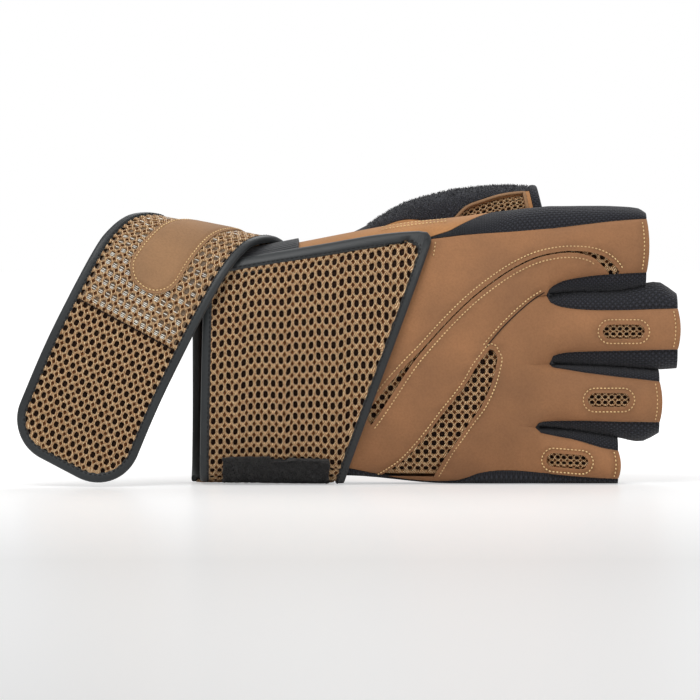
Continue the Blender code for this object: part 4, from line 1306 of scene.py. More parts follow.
@dataclass(frozen=True)
class Knit:
    """Open knitted cloth: rows of oval holes with a small hole at each corner, over a dark inner cloth."""

    across: float = 2.7 * MM
    along: float = 3.65 * MM
    small_hole: float = 0.235
    yarn: float = 0.165
    drop: float = 0.75 * MM
    depth: float = 1.1 * MM

    def build(self, name: str, size: tuple[float, float], place: Edge, keep: Keep,
              palette: Palette) -> Object:
        """Knit one piece of cloth.

        Args:
            name: The object's name.
            size: The size of the cloth's rectangle.
            place: Gives the point at two distances and a lift.
            keep: Says whether a point lies inside the outline.
            palette: The materials.

        Returns:
            The cloth.
        """
        mesh, step = self.flat(size, keep)
        corners = [vertex for vertex in mesh.verts if not vertex.is_boundary]
        holes = bmesh.ops.bevel(mesh, geom=corners, offset=self.small_hole, offset_type="OFFSET", segments=1,
                                profile=0.5, affect="VERTICES", clamp_overlap=True, material=-1)["faces"]
        pits = set(holes)
        for face in holes:
            face.material_index = 2
        cells = [face for face in mesh.faces if face not in pits]
        for faces, inset, depth in ((holes, 0.02, -0.9), (cells, self.yarn, -0.22), (cells, 0.03, -1.0)):
            bmesh.ops.inset_individual(mesh, faces=faces, thickness=inset, depth=depth, use_even_offset=True)
        bmesh.ops.delete(mesh, geom=cells, context="FACES")
        self.lay(mesh, step, place, self.drop)
        item = Maker.object(name, mesh, [palette["yarn"], palette["spacer"], palette["knit_pit"]], 1e-7)
        rounding = item.modifiers.new("rounding", "SUBSURF")
        rounding.levels = rounding.render_levels = 1
        Maker.settle(item)
        whole = bmesh.new()
        whole.from_mesh(item.data)
        backing = self.layer(size, place, keep, self.depth)
        for face in backing.faces:
            face.material_index = 1
            face.smooth = True
        data = bpy.data.meshes.new("backing")
        backing.to_mesh(data)
        whole.from_mesh(data)
        whole.to_mesh(item.data)
        for used in (backing, whole):
            used.free()
        bpy.data.meshes.remove(data)
        return item

    def flat(self, size: tuple[float, float], keep: Keep) -> tuple[BMesh, tuple[float, float]]:
        """Make the flat grid of cells, one unit each, inside the outline.

        Args:
            size: The size of the cloth's rectangle.
            keep: Says whether a point lies inside the outline.

        Returns:
            The edit mesh and a cell's size.
        """
        counts = [max(round(whole / cell), 1) for whole, cell in zip(size, (self.across, self.along))]
        step = (size[0] / counts[0], size[1] / counts[1])
        mesh = bmesh.new()
        mesh.loops.layers.uv.verify()
        bmesh.ops.create_grid(mesh, x_segments=counts[0], y_segments=counts[1], size=0.5)
        bmesh.ops.translate(mesh, verts=mesh.verts, vec=(0.5, 0.5, 0.0))
        bmesh.ops.scale(mesh, verts=mesh.verts, vec=(*counts, 1.0))
        middles = [(face, face.calc_center_median()) for face in mesh.faces]
        outside = [face for face, middle in middles if not keep(middle.x * step[0], middle.y * step[1])]
        bmesh.ops.delete(mesh, geom=outside, context="FACES")
        return mesh, step

    @staticmethod
    def lay(mesh: BMesh, step: tuple[float, float], place: Edge, drop: float) -> None:
        """Lay a flat cloth of unit cells on its surface.

        Args:
            mesh: The edit mesh.
            step: A cell's size.
            place: Gives the point at two distances and a lift.
            drop: The depth of one unit below the face.
        """
        uv = mesh.loops.layers.uv.verify()
        for face in mesh.faces:
            for loop in face.loops:
                loop[uv].uv = (loop.vert.co.x * step[0] / MM, loop.vert.co.y * step[1] / MM)
        for vertex in mesh.verts:
            vertex.co = place(vertex.co.x * step[0], vertex.co.y * step[1], vertex.co.z * drop)

    def layer(self, size: tuple[float, float], place: Edge, keep: Keep, depth: float) -> BMesh:
        """Lay a plain cloth of the same outline below the face.

        Args:
            size: The size of the cloth's rectangle.
            place: Gives the point at two distances and a lift.
            keep: Says whether a point lies inside the outline.
            depth: The depth below the face.

        Returns:
            The edit mesh.
        """
        mesh, step = self.flat(size, keep)
        bmesh.ops.translate(mesh, verts=mesh.verts, vec=(0.0, 0.0, -1.0))
        self.lay(mesh, step, place, depth)
        return mesh


@dataclass
class HandShell:
    """The leather panels, the black strips between and beside the fingers, and the seams on them."""

    bench: Bench
    leather: float = 1.4 * MM
    fabric: float = 1.1 * MM
    seam_gap: float = 0.08 * MM
    rounding: float = 0.4 * MM
    hand_steps: int = 34
    finger_steps: int = 18
    lane_ease: float = 1.22
    crotch_ease: float = 1.35
    lane_rows: int = 12
    tip_bow: float = 0.005
    vent_length: float = 15 * MM
    vent_width: float = 5 * MM
    seam_offset: float = 1.7 * MM
    hem_offset: float = 1.8 * MM
    seam_start: float = 0.470
    gusset_end: float = 0.600

    def build(self) -> None:
        """Build the hand's pieces in the order in which they are sewn."""
        self.thumb_cut = self.thumb_envelope()
        self.hand_cut = self.hand_envelope()
        routes = self.seam_routes()
        self.near_points = [point for route in routes for point, _ in route]
        back = self.panel("back_of_hand", Side.BACK)
        Maker.cut(back, [self.opening_cutter(name, *edges) for name, edges in self.openings().items()])
        self.finish_leather(back, "leather", "back_panel")
        palm = self.panel("palm", Side.PALM)
        Maker.cut(palm, [self.thumb_cut])
        self.finish_leather(palm, "leather", "palm_panel")
        self.inserts()
        self.side_strips()
        for index in range(len(FINGERS) - 1):
            self.fourchette(index)
        self.bench.threads("hand_stitches", "cream_thread", "leather", routes, Stitching())
        self.second_seam()

    def lane_place(self, index: int, side: Side) -> Place:
        """Give the leather surface of one finger's lane.

        Args:
            index: The finger's number from the little finger.
            side: The back of the hand or the palm.

        Returns:
            The point at a share of the length and one from border to border.
        """
        finger = FINGERS[index]
        shape = FINGER_SHAPES[finger]
        steps = self.hand_steps + self.finger_steps

        def place(s: float, t: float) -> Vector:
            """Return the lane's point, with a slight unevenness as of soft leather."""
            t = eased(1 - t if side is Side.PALM else t)
            column = round(s * steps)
            crotch = mix(CROTCHES[index][1], CROTCHES[index + 1][1], t)
            if column <= self.hand_steps:
                along = crotch * column / self.hand_steps
                height = mix(FORM.border(index, along), FORM.border(index + 1, along), t)
            else:
                end = shape.end + self.tip_bow * (1 - (2 * t - 1) ** 2)
                along = mix(crotch, end, ((column - self.hand_steps) / self.finger_steps) ** self.lane_ease)
                height = mix(shape.value("low_border", along), shape.value("top_border", along), t)
            point = FORM.skin(along, height, side, finger)
            wave = noise.noise(Vector((point.x, point.y, point.z)) * 55.0)
            fade = smoothstep(0.0, 0.15, min(t, 1 - t) if column > self.hand_steps else 1.0)
            return point + FORM.skin_normal(along, height, side, finger) * (0.45 * MM * wave * fade)

        return place

    def panel(self, name: str, side: Side) -> Object:
        """Make one side's leather from four lanes.

        Args:
            name: The piece's name.
            side: The back of the hand or the palm.

        Returns:
            The panel with its wall.
        """
        mesh = bmesh.new()
        for index in range(len(FINGERS)):
            Maker.grid(self.hand_steps + self.finger_steps, self.lane_rows, self.lane_place(index, side),
                       (FORM.length, FORM.width / len(FINGERS)), mesh)
        item = Maker.object(name, mesh, (self.bench.palette["leather"],), 8e-5)
        return Maker.wall(item, self.leather, self.rounding)

    def finish_leather(self, item: Object, slot: str, *nodes: str) -> Object:
        """Settle a leather piece, mark how near its seams it is, and fit it.

        Args:
            item: The piece.
            slot: The material slot's name, passed on to fit().
            nodes: The CAD nodes that it stands for.

        Returns:
            The same piece.
        """
        Maker.settle(item, 40.0)
        tree = kdtree.KDTree(len(self.near_points))
        for number, point in enumerate(self.near_points):
            tree.insert(point, number)
        tree.balance()
        # Nearness to the seams, which darkens the leather's colour: painted shade along the seams, partly
        # wear.
        near = item.data.attributes.new("seam_near", "FLOAT", "POINT")
        for vertex in item.data.vertices:
            distance = tree.find(vertex.co)[2]
            near.data[vertex.index].value = 0.55 * math.exp(-(distance / (0.9 * MM)) ** 2)
        return self.bench.fit(item, slot, *nodes)

    def openings(self) -> dict[str, Edges]:
        """Return the two edges of each opening in the back of the hand."""
        vents = {"vent_" + finger.value: self.vent_edges(finger, 0.0) for finger in VENTS}
        return {"slit": self.slit_edges(0.0), "wedge": self.wedge_edges(0.0), **vents}

    def slit_edges(self, grow: float) -> Edges:
        """Find the two edges of the slit, grown by a distance, as lines of along and height."""
        first, second = [], []
        for along in shares(SLIT.start, SLIT.end, 70):
            step = 0.004
            rise = SLIT.value("height", along + step) - SLIT.value("height", along - step)
            run = Vector((2 * step * FORM.length, rise * FORM.width))
            out = Vector((-run.y, run.x)).normalized() * (SLIT.value("gap", along) + grow)
            height = SLIT.value("height", along)
            first.append((along + out.x / FORM.length, height + out.y / FORM.width))
            second.append((along - out.x / FORM.length, height - out.y / FORM.width))
        return first, second

    def wedge_edges(self, grow: float) -> Edges:
        """Find the two edges of the wedge, grown by a distance, as lines of along and height."""
        table = SmoothTable(("row", "a", "b", "c", "d"), [(i, *row) for i, row in enumerate(WEDGE_EDGES)])
        first, second = [], []
        for row in shares(0, len(WEDGE_EDGES) - 1, 40):
            a, b, c, d = (table.value(column, row) for column in (1, 2, 3, 4))
            across = Vector(((c - a) * FORM.length, (d - b) * FORM.width))
            share = grow / across.length
            first.append((a - (c - a) * share, b - (d - b) * share))
            second.append((c + (c - a) * share, d + (d - b) * share))
        return first, second

    def vent_edges(self, finger: Finger, grow: float) -> Edges:
        """Find the two long edges of a finger vent with round ends, grown by a distance."""
        along, height, tilt = VENTS[finger]
        radius = self.vent_width / 2 + grow
        straight = self.vent_length / 2 - self.vent_width / 2
        turn = math.radians(-tilt)
        edges: Edges = ([], [])
        for step in range(18):
            end = 1 if step > 8 else -1
            angle = math.pi * (step if end < 0 else step - 1) / 16
            x = -math.cos(angle) * radius + end * straight
            rise = max(math.sin(angle), 0.05) * radius
            for edge, z in zip(edges, (rise, -rise)):
                edge.append((along + (x * math.cos(turn) - z * math.sin(turn)) / FORM.length,
                             height + (x * math.sin(turn) + z * math.cos(turn)) / FORM.width))
        return edges

    def opening_cutter(self, name: str, first: Line,
                       second: Line) -> Object:
        """Make a prism through the back of the hand.

        Args:
            name: The opening's name.
            first: Its first edge.
            second: Its second edge.

        Returns:
            The cutter.
        """
        count = len(first) - 1

        def place(s: float, t: float) -> Vector:
            """Return the outline's point on a plane in front of the glove."""
            along, height = (first if t < 0.5 else second)[round(s * count)]
            return FORM.spot(along, -40 * MM, height)

        mesh = Maker.grid(count, 1, place, (1.0, 1.0))
        bmesh.ops.translate(mesh, verts=Maker.lid(mesh), vec=(0, 38.5 * MM, 0))
        return self.bench.cutter(name + "_cutter", mesh)

    def inserts(self) -> None:
        """Knit the pieces behind the openings."""
        for name, edges in (("slit", self.slit_edges(2.4 * MM)), ("wedge", self.wedge_edges(2.4 * MM))):
            self.insert(name + "_knit", edges, None, Knit(3.0 * MM, 3.4 * MM), name + "_mesh")
        for finger in VENTS:
            self.insert("vent_knit_" + finger.value, self.vent_edges(finger, 2.0 * MM), finger,
                        Knit(2.5 * MM, 2.5 * MM), "vent_mesh_" + finger.value)

    def insert(self, name: str, edges: Edges, finger: Finger | None, knit: Knit, node: str) -> None:
        """Knit one piece behind an opening.

        Args:
            name: The piece's name.
            edges: The opening's two edges, grown.
            finger: The finger that carries it, or None.
            knit: The knit's sizes.
            node: The CAD node that it stands for.
        """
        places = [FORM.spot(along, 0.0, height) for along, height in edges[0] + edges[1][::-1]]
        outline = [(place.x, place.z) for place in places]
        low, high = ([end(point[axis] for point in outline) for axis in (0, 1)] for end in (min, max))
        size = (high[0] - low[0], high[1] - low[1])

        def place(x: float, z: float, lift: float) -> Vector:
            """Return the cloth's point, a leather's thickness behind the leather's face."""
            along, height = FORM.along_at(low[0] + x), (low[1] + z) / FORM.width
            skin = FORM.spot(along, -FORM.depth(along, height, finger), height)
            out = FORM.skin_normal(along, height, Side.BACK, finger)
            return skin + out * (lift - self.leather - 0.1 * MM)

        def keep(x: float, z: float) -> bool:
            """Say whether a point lies inside the grown outline."""
            px, pz, inside = low[0] + x, low[1] + z, False
            for (ax, az), (bx, bz) in zip(outline, outline[1:] + outline[:1]):
                if (az > pz) != (bz > pz) and px < (bx - ax) * (pz - az) / (bz - az) + ax:
                    inside = not inside
            return inside

        item = knit.build(name, size, place, keep, self.bench.palette)
        self.bench.fit(item, "knitted_mesh", node)

    def outer_strip(self, low: bool, grid: tuple[int, int], ends: tuple[float, float],
                    edges: Callable[[float], tuple[float, float]]) -> BMesh:
        """Make a strip along the outline of the hand and one finger, over its fold.

        Args:
            low: Whether it runs along the little finger, or else the index finger.
            grid: The faces along it and round it.
            ends: Where it starts and ends, as shares of the length.
            edges: Gives its first and last turn, from -1 near to 1 far.

        Returns:
            The edit mesh.
        """
        finger, name, sign = (Finger.LITTLE, "low_", -1) if low else (Finger.INDEX, "top_", 1)

        def place(s: float, t: float) -> Vector:
            """Return the strip's point."""
            along = mix(ends[0], ends[1], s)
            shape = HAND if along <= HAND.end else FINGER_SHAPES[finger]
            border, fold = shape.value(name + "border", along), shape.value(name + "fold", along)
            turn = mix(*edges(along), 1 - t if low else t) * math.pi / 2
            depth = FORM.depth(along, border, finger)
            start = border + self.seam_gap / FORM.width * sign
            point = FORM.spot(along, depth * math.sin(turn), mix(start, fold, math.cos(turn)))
            return on_floor(point, FORM.hand_level(along))

        return Maker.grid(*grid, place, ((ends[1] - ends[0]) * FORM.length, (6 if low else 20) * MM))

    def side_strips(self) -> None:
        """Make the black strips beside the fingers and the leather above the wrist."""
        def gusset_edges(along: float) -> tuple[float, float]:
            """Return the turns of the leather, which gives way to the black strip."""
            if along < self.seam_start:
                return (-1.0, 1.0)
            return (min(broken_line(FOLD_SEAM, along) + 0.02, 0.98), 1.0)

        little, index = (FINGER_SHAPES[finger].end for finger in (Finger.LITTLE, Finger.INDEX))
        mesh = self.outer_strip(True, (70, 16), (0.0, little), lambda along: (-1.0, 1.0))
        self.bench.piece("little_edge", mesh, "black_fabric", "black_fabric", "little_side", wall=self.fabric)
        mesh = self.outer_strip(False, (60, 14), (self.seam_start, index),
                                lambda along: (-1.0, broken_line(FOLD_SEAM, along)))
        self.bench.piece("index_edge", mesh, "black_fabric", "black_fabric", "index_side", wall=self.fabric,
                         cutters=[self.thumb_cut])
        mesh = self.outer_strip(False, (60, 14), (0.0, self.gusset_end), gusset_edges)
        gusset = Maker.object("thumb_base", mesh, (self.bench.palette["warm_leather"],))
        Maker.cut(Maker.wall(gusset, self.leather, 0.3 * MM), [self.thumb_cut])
        self.finish_leather(gusset, "leather", "thumb_gusset")

    def fourchette(self, index: int) -> None:
        """Make the fabric between two fingers, a U from one fingertip round the crotch to the other.

        Args:
            index: The lower finger's number.
        """
        lower, upper = FINGERS[index], FINGERS[index + 1]
        height, crotch = CROTCHES[index + 1]
        steps, web = 22, 0.018

        def section(column: int) -> tuple[float, float, float, float, float]:
            """Return along, border, fold, the fold's along and the depth of the U's section."""
            if column == 0:
                folds = [FINGER_SHAPES[finger].value(fold, crotch + web)
                         for finger, fold in ((lower, "top_fold"), (upper, "low_fold"))]
                depth = FORM.depth(crotch, height, lower)
                return (crotch + 0.002, height, sum(folds) / 2, crotch + web, depth)
            finger, side, name = (upper, 1, "low_") if column > 0 else (lower, -1, "top_")
            shape = FINGER_SHAPES[finger]
            along = mix(crotch, shape.end, (abs(column) / steps) ** self.crotch_ease)
            border, fold = shape.value(name + "border", along), shape.value(name + "fold", along)
            return (along, border - side * self.seam_gap / FORM.width, fold,
                    max(along, crotch + web * min(1.0, abs(column) / 4)), FORM.depth(along, border, finger))

        def place(s: float, t: float) -> Vector:
            """Return the strip's point, puffed out between its seam and its fold."""
            along, border, fold, fold_along, depth = section(steps - round(2 * steps * s))
            angle = mix(-1.0, 1.0, t) * math.pi / 2
            share = math.cos(angle) ** 0.85
            return FORM.spot(mix(along, fold_along, share), depth * math.sin(angle), mix(border, fold, share))

        name = "fourchette_%s_%s" % (upper.value, lower.value)
        mesh = Maker.grid(2 * steps, 18, place, (90 * MM, 22 * MM))
        self.bench.piece("black_" + name, mesh, "black_fabric", "black_fabric", name, wall=self.fabric)

    def route(self, line: Line, finger: Finger | None = None, count: int = 60) -> Route:
        """Lay a line of along and height on the back of the hand.

        Args:
            line: The line's points.
            finger: The finger that carries it, or None.
            count: The number of points wanted.

        Returns:
            Points on the leather with the direction out.
        """
        found = []
        for step in range(count + 1):
            position = step / count * (len(line) - 1)
            index = min(int(position), len(line) - 2)
            along = mix(line[index][0], line[index + 1][0], position - index)
            height = mix(line[index][1], line[index + 1][1], position - index)
            found.append((FORM.skin(along, height, Side.BACK, finger),
                          FORM.skin_normal(along, height, Side.BACK, finger)))
        return found

    def seam_routes(self) -> list[Route]:
        """Find every cream seam of the hand.

        Returns:
            Each seam's points and directions out.
        """
        upper, lower = self.slit_edges(self.seam_offset)
        routes = [self.route(upper, None, 150), self.route(lower[:-5], None, 150)]
        left, right = self.wedge_edges(self.seam_offset)
        cap = [(0.594, 0.498), (0.6035, 0.505), (0.614, 0.498)]
        routes.append(self.route(left[::-1] + cap + right, None, 200))
        for finger in VENTS:
            first, second = self.vent_edges(finger, self.seam_offset)
            routes.append(self.route(first + second[::-1] + first[:1], finger, 80))
        for finger, shape in FINGER_SHAPES.items():
            hem = []
            for t in shares(0.05, 0.95, 9):
                end = shape.end + self.tip_bow * (1 - (2 * t - 1) ** 2) - self.hem_offset / FORM.length
                hem.append((end, mix(shape.value("low_border", end), shape.value("top_border", end), t)))
            routes.append(self.route(hem, finger, 30))
        beside = [(along - 0.006, height + 0.008) for along, height in SECOND_SEAM]
        routes += [self.route(beside, None, 60), self.route([(0.487, 0.870), (0.482, 0.815)], None, 10)]
        for turn in (1.62, 1.80):
            points = [FORM.wrap(along, turn, Side.BACK) for along in shares(0.372, 0.512, 40)]
            routes.append([(point, Vector((0, point.y, 18 * MM)).normalized()) for point in points])
        return routes

    def second_seam(self) -> None:
        """Lay the dark line of the seam from the index finger's crotch to the wedge."""
        table = SmoothTable(("row", "along", "height"), [(i, *row) for i, row in enumerate(SECOND_SEAM)])
        line = [(table.value("along", row), table.value("height", row)) for row in shares(0, 5, 40)]
        route = self.route(line, None, 60)

        def edge(s: float, inward: float, lift: float) -> Vector:
            """Return a point of the seam's narrow groove."""
            number = round(s * 60)
            (point, out), after, before = route[number], route[min(number + 1, 60)], route[max(number - 1, 0)]
            across = out.cross(after[0] - before[0]).normalized()
            return point + across * (inward - 0.22 * MM) + out * (lift + 0.02 * MM)

        mesh = Maker.tube(edge, 60, 8, (0.22 * MM, 0.12 * MM), 35 * MM)
        self.bench.piece("knuckle_seam", mesh, "seam_shadow", "leather")

    def thumb_envelope(self) -> Object:
        """Return the solid that clears the thumb's hole out of the hand, just outside the thumb's tube."""
        return self.bench.envelope("thumb_envelope", (40, 48), lambda s, t: FORM.thumb(
            mix(0.239, 0.736, s), 360 * (t % 1.0), 0.3 * MM))

    def hand_envelope(self) -> Object:
        """Make the solid that clears the hand out of the thumb.

        Returns:
            The cutter.
        """
        def place(s: float, t: float) -> Vector:
            """Return a point just outside the hand's surface."""
            along, position = mix(0.100, 0.725, s), (t % 1.0) * 6
            side, turn = (Side.BACK, position - 1) if position <= 3 else (Side.PALM, 5 - position)
            point = FORM.wrap(along, turn, side)
            return point + Vector((0, point.y, point.z - FORM.width / 2)).normalized() * 0.1 * MM

        return self.bench.envelope("hand_envelope", (40, 72), place)


@dataclass
class Thumb:
    """The thumb: towelling over its back, leather below, a knitted patch and the hem of its mouth."""

    bench: Bench
    shell: HandShell
    terry: float = 1.6 * MM
    leather: float = 1.4 * MM
    terry_end: float = 205.0
    patch_start: float = 0.515
    patch_end: float = 0.690
    tufts: int = 5200

    def build(self) -> None:
        """Build the thumb's pieces."""
        start, end = THUMB.start, THUMB.end

        def back(s: float, t: float) -> Vector:
            """Return the towelling's point, slightly uneven."""
            along = mix(start, end, s)
            degrees = mix(THUMB.value("seam_degrees", along) + 1.5, self.terry_end, t)
            point = FORM.thumb(along, degrees)
            return FORM.thumb(along, degrees, 0.35 * MM * noise.noise(point * 160.0))

        def front(s: float, t: float) -> Vector:
            """Return the leather's point."""
            along = mix(start, end, s)
            return FORM.thumb(along, mix(self.terry_end - 358.5, THUMB.value("seam_degrees", along), t))

        self.top = Patch(back, 60, 30)
        mesh = self.outward(Maker.grid(60, 36, back, (85 * MM, 40 * MM)))
        self.bench.piece("thumb_towelling", mesh, "terry", "terry", "thumb_back", wall=self.terry,
                         bevel=0.4 * MM, cutters=[self.shell.hand_cut])
        mesh = self.outward(Maker.grid(60, 36, front, (85 * MM, 40 * MM)))
        lower = Maker.object("thumb_leather", mesh, (self.bench.palette["warm_leather"],))
        Maker.cut(Maker.wall(lower, self.leather, 0.3 * MM), [self.shell.hand_cut, self.opening()])
        self.shell.finish_leather(lower, "leather", "thumb_front")
        self.patch()
        self.trim()
        self.hem()
        self.fuzz()

    @staticmethod
    def axis(x: float) -> Vector:
        """Return the point of the thumb's middle line at an X."""
        along = FORM.along_at(x)
        return (FORM.thumb(along, 0) + FORM.thumb(along, 180)) / 2

    def outward(self, mesh: BMesh) -> BMesh:
        """Turn the faces of a shell of the thumb outwards.

        Args:
            mesh: The edit mesh.

        Returns:
            The same mesh.
        """
        mesh.normal_update()
        middles = [(face.normal, face.calc_center_median()) for face in mesh.faces]
        if sum(normal.dot(middle - self.axis(middle.x)) for normal, middle in middles) < 0:
            bmesh.ops.reverse_faces(mesh, faces=mesh.faces)
        return mesh

    def patch_degrees(self, along: float, share: float) -> float:
        """Return the angle at a share across the patch's opening."""
        low = mix(-35, 5, (along - self.patch_start) / (self.patch_end - self.patch_start))
        return mix(low, THUMB.value("seam_degrees", along) - 4, share)

    def patch_point(self, s: float, t: float, grow: float) -> Vector:
        """Return a point over the patch's opening, whose lower end is rounded."""
        along = mix(self.patch_start, self.patch_end, s)
        share = 1 - (1 - t) * min(1.0, 0.30 + 2.2 * s)
        return FORM.thumb(along, self.patch_degrees(along, share), grow)

    def opening(self) -> Object:
        """Make the cutter of the patch's opening.

        Returns:
            The cutter.
        """
        mesh = Maker.grid(24, 10, lambda s, t: self.patch_point(s, t, 3 * MM), (1.0, 1.0))
        for vertex in Maker.lid(mesh):
            vertex.co += (self.axis(vertex.co.x) - vertex.co).normalized() * 7 * MM
        return self.bench.cutter("thumb_opening", mesh)

    def patch(self) -> None:
        """Knit the patch in the thumb's leather."""
        length = (self.patch_end - self.patch_start) * FORM.length + 3 * MM
        width = 17 * MM

        def place(x: float, y: float, lift: float) -> Vector:
            """Return the patch's point, just behind the leather's face."""
            along = mix(self.patch_start, self.patch_end, x / length * 1.1 - 0.05)
            degrees = self.patch_degrees(along, y / width * 1.2 - 0.1)
            return FORM.thumb(along, degrees, lift - 1.0 * MM)

        item = Knit(2.3 * MM, 2.6 * MM).build("thumb_knit", (length, width), place, lambda x, y: True,
                                              self.bench.palette)
        self.bench.fit(item, "knitted_mesh", "thumb_patch")

    def trim(self) -> None:
        """Make the narrow leather edging round the patch."""
        corners = [(s, 1.0) for s in shares(1.0, 0.0, 40)] + [(0.0, t) for t in shares(0.9, 0.1, 8)]
        corners += [(s, 0.0) for s in shares(0.0, 1.0, 40)] + [(1.0, t) for t in shares(0.1, 0.9, 8)]
        points = [self.patch_point(s, t, 0.25 * MM) for s, t in corners]
        count = len(points)

        def edge(s: float, inward: float, lift: float) -> Vector:
            """Return a point of the edging."""
            number = round(s * count) % count
            point, after, before = points[number], points[(number + 1) % count], points[number - 1]
            out = (point - self.axis(point.x)).normalized()
            across = out.cross(after - before).normalized()
            return point + across * (inward - 0.6 * MM) + out * lift

        mesh = Maker.tube(edge, count, 10, (0.6 * MM, 0.5 * MM), 80 * MM)
        self.bench.piece("thumb_edging", mesh, "tab_leather", "leather")

    def hem(self) -> None:
        """Make the black hem round the thumb's mouth."""
        along = THUMB.end + (BINDING / 2 + 0.1 * MM) / FORM.length

        def edge(s: float, inward: float, lift: float) -> Vector:
            """Return a point of the hem."""
            return FORM.thumb(along + (inward - BINDING / 2) / FORM.length, 360 * (s % 1.0), lift - 1.2 * MM)

        mesh = Maker.tube(edge, 64, 12, (BINDING / 2, 1.5 * MM), 75 * MM)
        self.bench.piece("thumb_hem", mesh, "black_fabric", "black_fabric", "thumb_binding")

    def fuzz(self) -> None:
        """Raise short loops of pile on the towelling."""
        chance, pile = random.Random(7), Swarm()
        lowest = FORM.thumb(0.5, 90).z - 30 * MM

        def places() -> Iterator[tuple[Vector, Vector]]:
            """Give each loop's root, not too far down the towelling."""
            for _ in range(self.tufts):
                place = chance.uniform(0.22, 1.0), chance.uniform(0.0, 0.98)
                if self.top.at(*place).z >= lowest:
                    yield self.top.at(*place), self.top.normal(*place)

        pile.hairs(places(), chance, 0.9, (0.5, 0.95), 0.16 * MM)
        self.bench.piece("thumb_pile", pile.gather(), "terry_tuft", "terry", merge=1e-8)


